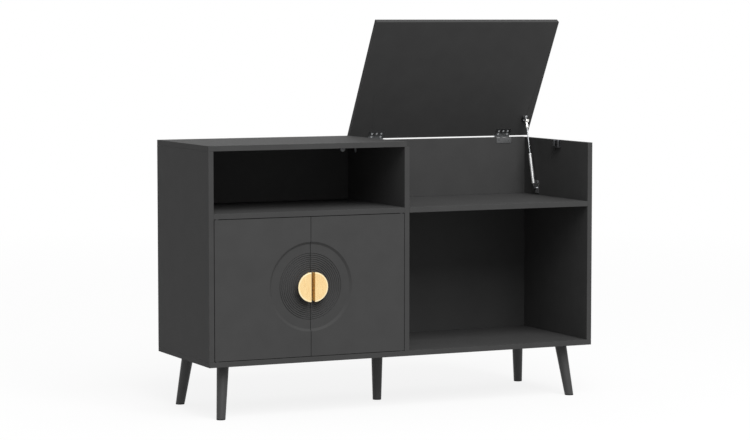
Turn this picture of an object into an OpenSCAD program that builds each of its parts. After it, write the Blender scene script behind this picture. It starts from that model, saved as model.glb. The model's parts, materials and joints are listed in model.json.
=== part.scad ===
// Record player stand: a cabinet on five legs. On the left, a cubby above a cupboard with two doors.
// On the right, a turntable well under a lid that lifts up, above an open record bay.
// Millimetres, +X to the right, +Y to the rear, +Z up. The origin is on the floor, under the
// centre leg. It is drawn as it stands in use: doors shut and lid up.

/* [Cabinet] */
// Overall width of the cabinet
cabinet_w = 1200; // [1100:10:1300]
// Depth of the cabinet
cabinet_d = 400; // [380:5:460]
// Height of the body, from under the bottom board to the top of the fixed top
body_h = 608; // [602:2:700]
// Thickness of the boards
board_t = 15; // [15:0.5:17]
// Clear height under the two shelves
lower_h = 392; // [350:2:396]
// Thickness of the thin boards that close the lower bays at the rear
thin_back_t = 3; // [2.5:0.5:4]
// Depth of the grooves that hold the thin boards
groove_d = 5; // [4:0.5:6]

/* [Legs] */
// Height of the legs, with their plates and glides
leg_h = 151; // [110:1:180]
// Diameter of a leg at the cabinet
leg_top_d = 34; // [30:1:40]
// Diameter of a leg at the floor
leg_foot_d = 25; // [20:1:28]
// Distance from the cabinet's side to the axis of a corner leg, under the bottom board
leg_in_side = 66; // [58:1:90]
// Distance from the cabinet's front or rear to that axis
leg_in_end = 67; // [58:1:90]
// Splay of the corner legs towards the sides, in degrees
splay_side = 6.2; // [1:0.2:8]
// Splay of the corner legs towards the front or rear, in degrees
splay_end = 9.6; // [1:0.2:10]
// Thickness of the glide under each leg
glide_t = 2; // [1:0.5:4]
// Side of the square steel plate that holds a leg
plate_w = 66; // [60:1:76]
// Thickness of the leg plates
plate_t = 3; // [2:0.5:4]

/* [Doors] */
// Gap round each door
door_gap = 1.75; // [1.75:0.25:4]
// Gap between the two doors
split_gap = 1.5; // [1.25:0.25:3]
// Distance from a door's hinged edge to its pivot
pivot_in = 8; // [8:0.5:12]
// Distance from a door's front face to its pivot
pivot_back = 5; // [4.5:0.25:5.25]
// Diameter of the pivot pins
pivot_d = 5; // [4:0.5:6]
// Radius of the round recess across both doors
recess_r = 125; // [110:0.5:135]
// Depth of the recess
recess_d = 4.5; // [1.5:0.25:5]
// Width of the recess's sloped rim
recess_rim = 6.5; // [3:0.5:8]
// Radius of the outermost of the concentric grooves
groove_r = 92; // [75:1:97]
// Distance from one concentric groove to the next
groove_pitch = 5.6; // [4.5:0.1:7]
// Width of a concentric groove
groove_w = 3; // [2:0.1:3.5]
// Depth of a concentric groove
groove_h = 1.8; // [0.8:0.1:2]

/* [Handles] */
// Radius of the half-round handles
handle_r = 41.5; // [36:0.5:48]
// Gap between the two handles
handle_gap = 11; // [8:0.5:14]
// How far a handle's straight edge stops short of the middle of its circle
handle_cut = 2; // [0:0.25:4]
// Height of the handles above the recess
handle_h = 20.5; // [15:0.5:24]
// Thickness of a handle's metal
handle_t = 3.5; // [2.5:0.25:4]
// Width of the bevel round a handle's face
bevel_w = 3.5; // [1:0.25:4]
// Depth of that bevel
bevel_h = 0.5; // [0.25:0.25:2]

/* [Lid] */
// How far the lid is opened, in degrees
lid_open = 60.5; // [45:0.5:68]
// Gap between the lid and the fixed top
lid_gap = 1; // [0.5:0.25:2]
// Height of the shut lid above the tops of the sides
lid_rest = 1.5; // [1.5:0.25:3]
// Distance from the rear of the lid to the rear of the cabinet
lid_short = 3.5; // [3.5:0.25:5]
// Distance from each end of the lid to the middle of its hinge
hinge_in = 87; // [75:1:120]
// Width of a lid hinge
hinge_w = 50; // [46:1:60]
// Diameter of a lid hinge's pin
hinge_pin_d = 3; // [2.5:0.25:3]
// Thickness of the hinge leaves
leaf_t = 1.2; // [1:0.1:1.2]

/* [Strut] */
// Distance from the right side board to the strut's axis
strut_in = 11; // [10:0.5:16]
// Distance from the rear of the lid to the strut's ball, along the lid
ball_along = 60.5; // [56:0.5:66]
// Distance from the lid's inner face to the ball
ball_off = 12; // [10.5:0.5:16]
// Length of the strut between its pivots, with the lid shut
strut_len = 143.9; // [140:0.1:150]
// Least height of the strut's lower pivot above the turntable shelf
foot_up = 20; // [16:1:22]
// Least distance in depth between the strut's two pivots, with the lid shut
strut_rake = 31; // [24:1:40]
// Diameter of the strut's tube
tube_d = 10; // [9:0.5:12]
// Diameter of the strut's rod
rod_d = 4; // [3:0.5:5]

/* [Hidden] */

$fn = 64;
// Finer circles for the large round cuts
fine = 128;
// Cuts run past a face by this much
over = 1;
// Radial clearance of fasteners in their holes
fit = 0.1;
// Radial clearance of parts that turn or slide on one another
running = 0.05;
// Gap between parts that lie against one another or pass without touching
clear = 0.3;

// Planes of the cabinet
half_w = cabinet_w / 2;
front_y = -cabinet_d / 2;
rear_y = cabinet_d / 2;
bottom_z = leg_h;
floor_z = bottom_z + board_t;
shelf_z = floor_z + lower_h;
shelf_top_z = shelf_z + board_t;
top_z = bottom_z + body_h;
under_top_z = top_z - board_t;
back_y = rear_y - board_t;
side_x = half_w - board_t;
divider_x = board_t / 2;
bay_w = side_x - divider_x;
left_bay_x = -(side_x + divider_x) / 2;

// Doors
door_w = (bay_w - 2 * door_gap - split_gap) / 2;
door_h = lower_h - 2 * door_gap;
door_z = floor_z + lower_h / 2;
door_back_y = front_y + board_t;
door_edge_x = left_bay_x - bay_w / 2 + door_gap;
recess_y = front_y + recess_d;
groove_count = floor((groove_r - handle_r) / groove_pitch);

// Pivots of the doors
pivot_from_middle = bay_w / 2 - door_gap - pivot_in;
pivot_y = front_y + pivot_back;
pin_in_door = 12;
bush_depth = 9;
bush_wall = 1.5;
bush_d = pivot_d + 2 * (running + bush_wall);
bush_flange_d = pivot_d + 5.5;
bush_flange_t = door_gap - clear;

// Handles and their screws; pan-head screws are [shank, head, head height, length]
handle_edge_x = left_bay_x - handle_gap / 2;
handle_foot_w = 18;
handle_foot_len = 58;
handle_back_in = 2;
handle_screw_in = 11;
handle_screw_up = 24;
handle_screw = [4, 8, 2.4, board_t - recess_d + handle_t - clear];

// Magnetic catch behind the tops of the doors
catch_size = [58, 14, 13];
catch_screw = [3, 6, 2, catch_size[2] + 10];
catch_screw_in = 4;
magnet = [14, 8, 8];
magnet_in = 13;
magnet_proud = 0.5;
strike = [18, 1.2, 14];
strike_in = 15;
strike_down = 1;
strike_spike = [3, 10];
catch_y = door_back_y + strike[1] + clear + magnet_proud;
magnet_z = shelf_z - catch_size[2] / 2;
strike_z = shelf_z - door_gap - strike_down - strike[2] / 2;

// Lid and its hinges; countersunk screws are [shank, head, length]
lid_left = lid_gap / 2;
lid_right = half_w - lid_gap / 2;
lid_rear_y = rear_y - lid_short;
lid_z = under_top_z + lid_rest;
barrel_wall = 0.95;
barrel_gap = 0.5;
barrel_r = hinge_pin_d / 2 + running + barrel_wall;
hinge_y = lid_rear_y + barrel_r + barrel_gap;
hinge_z = lid_z - leaf_t + barrel_r;
hinge_xs = [lid_left + hinge_in, lid_right - hinge_in];
knuckles = 5;
knuckle_w = hinge_w / knuckles;
leaf_drop = 17;
leaf_reach = 24;
leaf_sink = 0.2;
notch_depth = leaf_sink + leaf_t + fit;
lid_screw_rows = [[17.5, [-15, 0, 15]], [7, [-15, 15]]];
frame_screw_xs = [-16, 0, 16];
frame_screw_down = 9.5;
hinge_screw = [3, 6, 12];

// Gas strut between the lid and the right side board
strut_x = side_x - strut_in;
ball_r = 4;
ball_neck_d = 4;
ball_shut = [strut_x, lid_rear_y - ball_along, lid_z - ball_off];
ball_up = swing(ball_shut, lid_open);
strut_drop = min(ball_shut[2] - shelf_top_z - foot_up, sqrt(pow(strut_len, 2) - pow(strut_rake, 2)));
foot = ball_shut - [0, sqrt(pow(strut_len, 2) - pow(strut_drop, 2)), strut_drop];
strut_up = norm(ball_up - foot);
strut_lean = atan2(ball_up[1] - foot[1], ball_up[2] - foot[2]);
socket_d = 11;
socket_side = 7;
socket_open = 3;
socket_mouth_d = 6.8;
socket_wall = 3;
shank_d = 6.5;
shank_len = 23;
collar = [10, 10];
rod_rest = 13.9;
tube_foot = 14;
tube_wall = 1;
tube_end_t = 2;
tube_top = strut_len - shank_len - rod_rest;
tube_bore_d = tube_d - 2 * tube_wall;
gland_len = 8;
piston_len = 6;
piston_gap = 2;
rod_low = tube_top - gland_len - piston_gap - piston_len;
rod_top = strut_up - ball_r - socket_wall - clear;
eye_d = 13;
eye_w = 6;
eye_stem_d = 6;

// Brackets of the strut
bracket_t = 2;
ear_gap = 3.5;
ear_x = strut_x - ball_r - ear_gap - bracket_t;
ear_r = 7;
rivet = [6.4, 1.5];
lid_plate = [19, 20];
lid_plate_ahead = 13;
lid_plate_screw_in = [6.5, 5.5];
side_plate = [20, 38];
side_plate_up = 4;
side_plate_screw_in = 5;
stud_d = 8;
bracket_screw = [3.5, 7, 12];

// Buffers on which the shut lid comes to rest
buffer_in = 179;
buffer_spread = 24;
buffer_pin_d = 7.5;
buffer_plate = [36, 18];
buffer_plate_down = 1;
buffer_ledge = [11, 5];
buffer_tip_h = 3;
buffer_screw_up = 9;

// Legs and their bolts and plates
leg_tilt = atan(norm([tan(splay_side), tan(splay_end)]));
leg_turn = atan2(tan(splay_end), tan(splay_side));
leg_x = half_w - leg_in_side;
leg_y = cabinet_d / 2 - leg_in_end;
bolt_d = 8;
bolt_in_leg = 32;
bolt_up = 8;
bolt_pocket = [16, 9];
plate_screw = [3.5, 8, 2, plate_t + 10];
plate_screw_in = 7;

// Knock-down fittings
cam_d = 15;
cam_depth = 12.5;
cam_in = 24;
cam_bolt_d = 5;
cam_thread_len = 10.5;
cam_neck = [3, 4];
cam_head_len = 2;
cam_hole_d = 6;
dowel_d = 8;
slim_dowel_d = 6;
dowel_side = 10;
dowel_end = 19;
left_cam_y = 140;
right_cam_y = 115;
left_dowel_y = 75;
right_dowel_y = 50;
top_joint_x = -(divider_x + lid_gap / 2) / 2;
top_cam_in = 68;
top_dowels_in = [60, 140, 280];
back_cam_in = 16.5;
back_dowel_up = 45;
back_dowel_down = 46;
back_cam_up = 30;
back_cam_down = 31;
bottom_screw_y = 140;

// Screws of the bottom board: [head, shank, thread, head height, length in the upright]
bottom_screw = [9.5, 7, 5, 3, 33];

// Cross recess of the screws: width of a slot, its depth, and its length as a share of the head
cross = [0.8, 1.2, 0.55];

// Colours
board_color = "#414141";
thin_board_color = "#383838";
leg_color = "#353535";
handle_color = "#d9ad62";
zinc_color = "#b9bcc0";
dark_metal_color = "#55575a";
bright_metal_color = "#cfd1d4";
black_color = "#232325";
grey_color = "#8f9194";
dowel_color = "#c8a878";

// A point of the shut lid, turned about the lid's hinges by an angle
function swing(p, a) = [
    p[0],
    hinge_y + (p[1] - hinge_y) * cos(a) + (p[2] - hinge_z) * sin(a),
    hinge_z - (p[1] - hinge_y) * sin(a) + (p[2] - hinge_z) * cos(a)
];

// Shapes

// A box between two opposite corners
module box(low, high) {
    translate(low) cube(high - low);
}

// A cylinder that starts at a point and runs along +X
module rod_x(at, d, len) {
    translate(at) rotate([0, 90, 0]) cylinder(d = d, h = len);
}

// A cylinder that starts at a point and runs along +Z
module rod_z(at, d, len) {
    translate(at) cylinder(d = d, h = len);
}

// The children and their mirror image in the plane X = 0
module both_sides() {
    children();
    mirror([1, 0, 0]) children();
}

// Cross recess of a screw whose head's face looks along -Z at 0
module cross_recess(head_d) {
    half = head_d * cross[2] / 2;
    for (a = [0, 90]) rotate([0, 0, a])
        box([-half, -cross[0] / 2, -over], [half, cross[0] / 2, cross[1]]);
}

// A countersunk screw that runs along +Z, with its head's face at 0
module countersunk_screw(size) {
    difference() {
        union() {
            cylinder(d1 = size[1], d2 = size[0], h = (size[1] - size[0]) / 2);
            cylinder(d = size[0], h = size[2]);
        }
        cross_recess(size[1]);
    }
}

// Its hole
module countersunk_hole(size) {
    head_d = size[1] + 2 * fit;
    cylinder(d1 = head_d, d2 = size[0] + 2 * fit, h = (size[1] - size[0]) / 2);
    cylinder(d = size[0] + 2 * fit, h = size[2] + fit);
    rod_z([0, 0, -over], head_d, over);
}

// A pan-head screw that runs along +Z, seated at 0
module pan_screw(size) {
    difference() {
        union() {
            rod_z([0, 0, -size[2]], size[1], size[2]);
            cylinder(d = size[0], h = size[3]);
        }
        translate([0, 0, -size[2]]) cross_recess(size[1]);
    }
}

// Its hole
module pan_hole(size) {
    rod_z([0, 0, -over], size[0] + 2 * fit, size[3] + over + fit);
}

// Frames

// Moves the children with the lid, from shut to open
module with_lid() {
    translate([0, hinge_y, hinge_z]) rotate([-lid_open, 0, 0]) translate([0, -hinge_y, -hinge_z])
        children();
}

// Puts the children on the strut's axis: Z runs from the lower pivot up to the ball
module on_strut() {
    translate(foot) rotate([-strut_lean, 0, 0]) children();
}

// Puts the children on the front left leg's axis: -Z runs down the leg, and X stays along the cabinet
module on_leg() {
    translate([-leg_x, -leg_y, bottom_z]) rotate([0, leg_tilt, leg_turn]) rotate([0, 0, -leg_turn])
        children();
}

// The children, and their mirror images at the other three corners
module four_corners() {
    both_sides() {
        children();
        mirror([0, 1, 0]) children();
    }
}

// The children, drawn for the left door, mirrored to the right one
module right_hand() {
    translate([left_bay_x, 0, 0]) mirror([1, 0, 0]) translate([-left_bay_x, 0, 0]) children();
}

// Knock-down joints. In each, 0 is the face of the other board and +Z runs into the board's end.

// Cam joint: the cam's pocket opens towards -Y, and to_face is the bolt's depth under that face
module cam_holes(to_face = board_t / 2) {
    rod_z([0, 0, -over], cam_hole_d, cam_in + clear + over);
    translate([0, -to_face - over, cam_in]) rotate([-90, 0, 0])
        cylinder(d = cam_d + 2 * fit, h = cam_depth + over);
}

module cam_lock(to_face = board_t / 2) {
    difference() {
        translate([0, -to_face, cam_in]) rotate([-90, 0, 0]) difference() {
            cylinder(d = cam_d, h = cam_depth - clear);
            cross_recess(cam_d);
        }
        rod_z([0, 0, cam_in - cam_d], cam_hole_d, cam_d + clear);
    }
}

module cam_bolt() {
    shaft = cam_in - cam_neck[1] - cam_head_len;
    rod_z([0, 0, -cam_thread_len], cam_bolt_d, cam_thread_len + shaft);
    cylinder(d = cam_neck[0], h = cam_in);
    rod_z([0, 0, cam_in - cam_head_len], cam_bolt_d, cam_head_len);
}

module cam_bolt_hole() {
    rod_z([0, 0, -cam_thread_len - clear], cam_bolt_d + 2 * fit, cam_thread_len + clear + over);
}

module wood_dowel(d = dowel_d) {
    rod_z([0, 0, -dowel_side], d, dowel_side + dowel_end);
}

module dowel_hole(d = dowel_d) {
    rod_z([0, 0, -dowel_side - clear], d + 2 * fit, dowel_side + dowel_end + 2 * clear);
}

// Joint at one end of a shelf; dir is 1 where the shelf lies to the right of the face at x
module at_shelf_end(x, dir, y) {
    translate([x, y, shelf_z + board_t / 2]) rotate([0, 90 * dir, 0]) rotate([0, 0, 90 * dir])
        children();
}

module at_shelf_ends(left_x, right_x, y) {
    for (s = [-1, 1]) {
        at_shelf_end(left_x, 1, s * y) children();
        at_shelf_end(right_x, -1, s * y) children();
    }
}

module at_left_shelf(y) {
    at_shelf_ends(-side_x, -divider_x, y) children();
}

module at_right_shelf(y) {
    at_shelf_ends(divider_x, side_x, y) children();
}

// Joint under the fixed top: turn sets which way the cam's pocket looks
module at_top(x, y, turn) {
    translate([x, y, under_top_z]) rotate([180, 0, turn]) children();
}

module at_side_top_cam() {
    at_top(-side_x - board_t / 2, rear_y - top_cam_in, -90) children();
}

module at_divider_top_cam() {
    at_top(top_joint_x, rear_y - top_cam_in, 90) children();
}

module at_cubby_back_cams() {
    for (x = [-side_x + back_cam_in, -divider_x - back_cam_in])
        at_top(x, back_y + board_t / 2, 180) children();
}

module at_top_dowels(x) {
    for (in = top_dowels_in) at_top(x, front_y + in, 0) children();
}

// Joint at one end of an upper back: the cam's pocket looks to the rear
module at_back_end(x, dir, z) {
    translate([x, back_y + board_t / 2, z]) rotate([0, 90 * dir, 0]) rotate([0, 0, 180]) children();
}

module at_cubby_back_dowels() {
    for (z = [shelf_top_z + back_dowel_up, under_top_z - back_dowel_down]) {
        at_back_end(-side_x, 1, z) children();
        at_back_end(-divider_x, -1, z) children();
    }
}

module at_well_back_cams() {
    for (z = [shelf_top_z + back_cam_up, under_top_z - back_cam_down]) {
        at_back_end(divider_x, 1, z) children();
        at_back_end(side_x, -1, z) children();
    }
}

// Screws up through the bottom board into the three uprights
module at_bottom_screws() {
    for (x = [-side_x - board_t / 2, 0, side_x + board_t / 2], s = [-1, 1])
        translate([x, s * bottom_screw_y, bottom_z]) children();
}

module bottom_screw_shape(grow = 0) {
    cylinder(d1 = bottom_screw[0] + 2 * grow, d2 = bottom_screw[1] + 2 * grow, h = bottom_screw[3]);
    cylinder(d = bottom_screw[1] + 2 * grow, h = board_t);
    cylinder(d = bottom_screw[2] + 2 * grow, h = board_t + bottom_screw[4] + grow);
}

module bottom_screw_hole() {
    bottom_screw_shape(fit);
    rod_z([0, 0, -over], bottom_screw[0] + 2 * fit, over);
}

// Boards

// Groove for a thin back in the face of an upright, between two places in X
module upright_groove(x0, x1) {
    box([x0, back_y, floor_z - over], [x1, back_y + thin_back_t + fit, shelf_z + groove_d]);
}

module left_side_panel() {
    color(board_color) difference() {
        box([-half_w, front_y, floor_z], [-side_x, rear_y, under_top_z]);
        upright_groove(-side_x - groove_d, -side_x + over);
        at_left_shelf(left_cam_y) cam_bolt_hole();
        at_left_shelf(left_dowel_y) dowel_hole();
        at_side_top_cam() cam_holes();
        at_top_dowels(-side_x - board_t / 2) dowel_hole();
        at_cubby_back_dowels() dowel_hole();
        at_bottom_screws() bottom_screw_hole();
    }
}

module right_side_panel() {
    color(board_color) difference() {
        box([side_x, front_y, floor_z], [half_w, rear_y, under_top_z]);
        upright_groove(side_x - over, side_x + groove_d);
        at_right_shelf(right_cam_y) cam_bolt_hole();
        at_right_shelf(right_dowel_y) dowel_hole();
        at_well_back_cams() cam_bolt_hole();
        at_bottom_screws() bottom_screw_hole();
        at_side_plate_screws() countersunk_hole(bracket_screw);
        at_buffer(1) at_buffer_screw() countersunk_hole(bracket_screw);
    }
}

module centre_divider() {
    color(board_color) difference() {
        box([-divider_x, front_y, floor_z], [divider_x, rear_y, under_top_z]);
        upright_groove(-divider_x - over, -divider_x + groove_d);
        upright_groove(divider_x - groove_d, divider_x + over);
        at_left_shelf(left_cam_y) cam_bolt_hole();
        at_right_shelf(right_cam_y) cam_bolt_hole();
        at_left_shelf(left_dowel_y) dowel_hole();
        at_right_shelf(right_dowel_y) dowel_hole();
        at_divider_top_cam() cam_holes(divider_x + top_joint_x);
        at_top_dowels(top_joint_x) dowel_hole(slim_dowel_d);
        at_cubby_back_dowels() dowel_hole();
        at_well_back_cams() cam_bolt_hole();
        at_bottom_screws() bottom_screw_hole();
        at_buffer(-1) at_buffer_screw() countersunk_hole(bracket_screw);
    }
}

module bottom_panel() {
    color(board_color) difference() {
        box([-half_w, front_y, bottom_z], [half_w, rear_y, floor_z]);
        for (x = [-side_x, divider_x]) box([x - groove_d, back_y, floor_z - groove_d],
            [x + bay_w + groove_d, back_y + thin_back_t + fit, floor_z + over]);
        at_bottom_screws() bottom_screw_hole();
        at_door_pivots(floor_z) pivot_bush_hole();
        at_plate_screws() pan_hole(plate_screw);
        at_leg_tops() rod_z([0, 0, -over], bolt_pocket[0], bolt_pocket[1] + over);
    }
}

module left_top_panel() {
    color(board_color) difference() {
        box([-half_w, front_y, under_top_z], [-lid_gap / 2, rear_y, top_z]);
        at_side_top_cam() cam_bolt_hole();
        at_divider_top_cam() cam_bolt_hole();
        at_cubby_back_cams() cam_bolt_hole();
        at_top_dowels(-side_x - board_t / 2) dowel_hole();
        at_top_dowels(top_joint_x) dowel_hole(slim_dowel_d);
    }
}

// A shelf from x0 across one bay, with a groove under it for the thin back
module shelf_board(x0) {
    difference() {
        box([x0, front_y, shelf_z], [x0 + bay_w, rear_y, shelf_top_z]);
        box([x0 - over, back_y, shelf_z - over],
            [x0 + bay_w + over, back_y + thin_back_t + fit, shelf_z + groove_d]);
    }
}

module cubby_shelf() {
    color(board_color) difference() {
        shelf_board(-side_x);
        at_left_shelf(left_cam_y) cam_holes();
        at_left_shelf(left_dowel_y) dowel_hole();
        at_door_pivots(shelf_z) mirror([0, 0, 1]) pivot_bush_hole();
        at_catch_screws() pan_hole(catch_screw);
    }
}

module turntable_shelf() {
    color(board_color) difference() {
        shelf_board(divider_x);
        at_right_shelf(right_cam_y) cam_holes();
        at_right_shelf(right_dowel_y) dowel_hole();
    }
}

module cubby_back() {
    color(board_color) difference() {
        box([-side_x, back_y, shelf_top_z], [-divider_x, rear_y, under_top_z]);
        at_cubby_back_cams() cam_holes();
        at_cubby_back_dowels() dowel_hole();
    }
}

module well_back() {
    color(board_color) difference() {
        box([divider_x, back_y, shelf_top_z], [side_x, rear_y, lid_z - clear]);
        at_well_back_cams() cam_holes();
        for (x = hinge_xs) box([x - hinge_w / 2 - clear, back_y - over, under_top_z - notch_depth],
            [x + hinge_w / 2 + clear, rear_y + over, lid_z]);
        at_frame_leaf_screws() countersunk_hole(hinge_screw);
    }
}

// A thin back, held in grooves along all four edges
module thin_back(x0) {
    reach = groove_d - clear;
    color(thin_board_color) box([x0 - reach, back_y, floor_z - reach],
        [x0 + bay_w + reach, back_y + thin_back_t, shelf_z + reach]);
}

module cupboard_back() {
    thin_back(-side_x);
}

module record_bay_back() {
    thin_back(divider_x);
}

// Doors

// Outline that is turned to cut the recess and its grooves: X is the radius, Y the depth
module recess_outline() {
    polygon(concat(
        [[0, -over], [recess_r + over * recess_rim / recess_d, -over], [recess_r - recess_rim, recess_d]],
        [for (i = [0:groove_count - 1], p = [[1, 0], [0, 1], [-1, 0]])
            [groove_r - i * groove_pitch + p[0] * groove_w / 2, recess_d + p[1] * groove_h]],
        [[0, recess_d]]
    ));
}

module door_board() {
    difference() {
        box([door_edge_x, front_y, door_z - door_h / 2],
            [door_edge_x + door_w, door_back_y, door_z + door_h / 2]);
        translate([left_bay_x, front_y, door_z]) rotate([-90, 0, 0]) rotate_extrude($fn = fine)
            recess_outline();
        at_door_pins() rod_z([0, 0, -pin_in_door - fit], pivot_d + 2 * fit, pin_in_door + over);
        at_handle_screws() pan_hole(handle_screw);
        at_strike() rotate([90, 0, 0]) rod_z([0, 0, -over], strike_spike[0] + 2 * fit,
            strike_spike[1] + fit + over);
    }
}

module left_door() {
    color(board_color) door_board();
}

module right_door() {
    color(board_color) right_hand() door_board();
}

// Puts the children at the left door's lower and upper edges, with Z out of the door
module at_door_pins() {
    for (s = [-1, 1]) translate([door_edge_x + pivot_in, pivot_y, door_z + s * door_h / 2])
        rotate([s > 0 ? 0 : 180, 0, 0]) children();
}

module door_pivot_pins() {
    color(dark_metal_color) at_door_pins()
        rod_z([0, 0, -pin_in_door], pivot_d, pin_in_door + door_gap + bush_depth - clear);
}

module left_door_pivot_pins() {
    door_pivot_pins();
}

module right_door_pivot_pins() {
    right_hand() door_pivot_pins();
}

// Puts the children at both doors' pivots, at one height
module at_door_pivots(z) {
    for (s = [-1, 1]) translate([left_bay_x + s * pivot_from_middle, pivot_y, z]) children();
}

// A flanged bush in the face at 0, from which it runs down
module pivot_bush() {
    difference() {
        union() {
            rod_z([0, 0, clear - bush_depth], bush_d, bush_depth);
            cylinder(d = bush_flange_d, h = bush_flange_t);
        }
        rod_z([0, 0, -bush_depth], pivot_d + 2 * running, bush_depth + door_gap);
    }
}

module pivot_bush_hole() {
    rod_z([0, 0, -bush_depth], bush_d + 2 * fit, bush_depth + over);
}

module door_pivot_bushes() {
    color(black_color) {
        at_door_pivots(floor_z) pivot_bush();
        at_door_pivots(shelf_z) mirror([0, 0, 1]) pivot_bush();
    }
}

// Handles

// Puts the children at the left handle's screws, on the door's back, with Z to the front
module at_handle_screws() {
    for (s = [-1, 1])
        translate([handle_edge_x - handle_screw_in, door_back_y, door_z + s * handle_screw_up])
            rotate([90, 0, 0]) children();
}

// Half-round handle: a bevelled face, a web along its straight edge and a foot with two tapped
// holes. Web and foot stay behind the face.
module handle() {
    past = handle_r + handle_cut + over;
    difference() {
        translate([handle_edge_x + handle_cut, recess_y, door_z]) rotate([90, 0, 0]) {
            cylinder(r = handle_r - handle_back_in, h = handle_h - bevel_h);
            translate([0, 0, handle_h - handle_t]) cylinder(r = handle_r, h = handle_t - bevel_h);
            translate([0, 0, handle_h - bevel_h])
                cylinder(r1 = handle_r, r2 = handle_r - bevel_w, h = bevel_h);
        }
        translate([handle_edge_x, recess_y, door_z]) {
            box([0, -handle_h - over, -past], [past, over, past]);
            box([-past, handle_t - handle_h, -past], [-handle_t, -handle_t, past]);
            box([-past, -handle_t - over, -past], [-handle_foot_w, over, past]);
            for (s = [0, 1]) mirror([0, 0, s]) box([-past, -handle_t - over, handle_foot_len / 2],
                [-handle_t, over, past]);
        }
        at_handle_screws() cylinder(d = handle_screw[0] + 2 * fit,
            h = board_t - recess_d + handle_t + over);
    }
}

module left_handle() {
    color(handle_color) handle();
}

module right_handle() {
    color(handle_color) right_hand() handle();
}

module handle_screws() {
    color(zinc_color) at_handle_screws() pan_screw(handle_screw);
}

module left_handle_screws() {
    handle_screws();
}

module right_handle_screws() {
    right_hand() handle_screws();
}

// Magnetic catch

// Puts the children at the housing's screws, on its lower face, with Z up
module at_catch_screws() {
    for (s = [-1, 1])
        translate([left_bay_x + s * (catch_size[0] / 2 - catch_screw_in), catch_y + catch_size[1] / 2,
            shelf_z - catch_size[2]]) children();
}

module magnet_blocks(grow = 0) {
    for (s = [-1, 1]) translate([left_bay_x + s * magnet_in, catch_y - magnet_proud, magnet_z])
        box([-magnet[0] / 2 - grow, 0, -magnet[2] / 2 - grow],
            [magnet[0] / 2 + grow, magnet[1] + grow, magnet[2] / 2 + grow]);
}

module catch_housing() {
    color(black_color) difference() {
        box([left_bay_x - catch_size[0] / 2, catch_y, shelf_z - catch_size[2]],
            [left_bay_x + catch_size[0] / 2, catch_y + catch_size[1], shelf_z]);
        magnet_blocks(fit);
        at_catch_screws() pan_hole(catch_screw);
    }
}

module catch_magnets() {
    color(grey_color) magnet_blocks();
}

module catch_screws() {
    color(zinc_color) at_catch_screws() pan_screw(catch_screw);
}

// Puts the children at the middle of the left strike, on the door's back
module at_strike() {
    translate([left_bay_x - strike_in, door_back_y, strike_z]) children();
}

// Steel strike plate with a spike that is driven into the door
module catch_strike() {
    color(zinc_color) at_strike() {
        box([-strike[0] / 2, 0, -strike[2] / 2], [strike[0] / 2, strike[1], strike[2] / 2]);
        rotate([90, 0, 0]) cylinder(d = strike_spike[0], h = strike_spike[1]);
    }
}

module left_catch_strike() {
    catch_strike();
}

module right_catch_strike() {
    right_hand() catch_strike();
}

// Lid and its hinges

module lid_panel() {
    color(board_color) with_lid() difference() {
        box([lid_left, front_y, lid_z], [lid_right, lid_rear_y, lid_z + board_t]);
        at_lid_leaf_screws() countersunk_hole(hinge_screw);
        at_lid_plate_screws() countersunk_hole(bracket_screw);
    }
}

// Every second knuckle's share of a hinge, between two corners in Y and Z
module knuckle_blocks(first, low, high) {
    for (i = [first:2:knuckles - 1])
        box([(i - knuckles / 2) * knuckle_w + clear / 2, low[0], low[1]],
            [(i + 1 - knuckles / 2) * knuckle_w - clear / 2, high[0], high[1]]);
}

module knuckle_barrels(first) {
    for (i = [first:2:knuckles - 1])
        rod_x([(i - knuckles / 2) * knuckle_w + clear / 2, hinge_y, hinge_z], 2 * barrel_r,
            knuckle_w - clear);
}

module hinge_pin_bore() {
    rod_x([-hinge_w / 2 - over, hinge_y, hinge_z], hinge_pin_d + 2 * running, hinge_w + 2 * over);
}

// Leaf on the well back: down its inner face, over its notched top and up to the barrel
module frame_leaf() {
    strip_z = under_top_z - leaf_sink;
    half = hinge_w / 2;
    difference() {
        union() {
            box([-half, back_y - leaf_t, under_top_z - leaf_drop], [half, back_y, strip_z]);
            box([-half, back_y - leaf_t, strip_z - leaf_t], [half, hinge_y + leaf_t, strip_z]);
            knuckle_blocks(0, [hinge_y - leaf_t, strip_z - leaf_t], [hinge_y + leaf_t, hinge_z]);
            knuckle_barrels(0);
        }
        hinge_pin_bore();
        at_frame_screws() countersunk_hole(hinge_screw);
    }
}

// Leaf under the lid, with the lid shut
module lid_leaf() {
    half = hinge_w / 2;
    difference() {
        union() {
            box([-half, lid_rear_y - leaf_reach, lid_z - leaf_t], [half, lid_rear_y, lid_z]);
            knuckle_blocks(1, [lid_rear_y - over, lid_z - leaf_t], [hinge_y, lid_z]);
            knuckle_barrels(1);
        }
        hinge_pin_bore();
        at_lid_screws() countersunk_hole(hinge_screw);
    }
}

// Puts the children at the screws of one hinge's leaf on the well back
module at_frame_screws() {
    for (x = frame_screw_xs) translate([x, back_y - leaf_t, under_top_z - frame_screw_down])
        rotate([-90, 0, 0]) children();
}

// Puts the children at the screws of one hinge's leaf under the lid
module at_lid_screws() {
    for (row = lid_screw_rows, x = row[1]) translate([x, lid_rear_y - row[0], lid_z - leaf_t])
        children();
}

module at_hinges() {
    for (x = hinge_xs) translate([x, 0, 0]) children();
}

module at_frame_leaf_screws() {
    at_hinges() at_frame_screws() children();
}

module at_lid_leaf_screws() {
    at_hinges() at_lid_screws() children();
}

module lid_hinge_frame_leaves() {
    color(dark_metal_color) at_hinges() frame_leaf();
}

module lid_hinge_lid_leaves() {
    color(dark_metal_color) with_lid() at_hinges() lid_leaf();
}

module lid_hinge_pins() {
    color(zinc_color) at_hinges() rod_x([-hinge_w / 2, hinge_y, hinge_z], hinge_pin_d, hinge_w);
}

module lid_hinge_frame_screws() {
    color(grey_color) at_frame_leaf_screws() countersunk_screw(hinge_screw);
}

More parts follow.
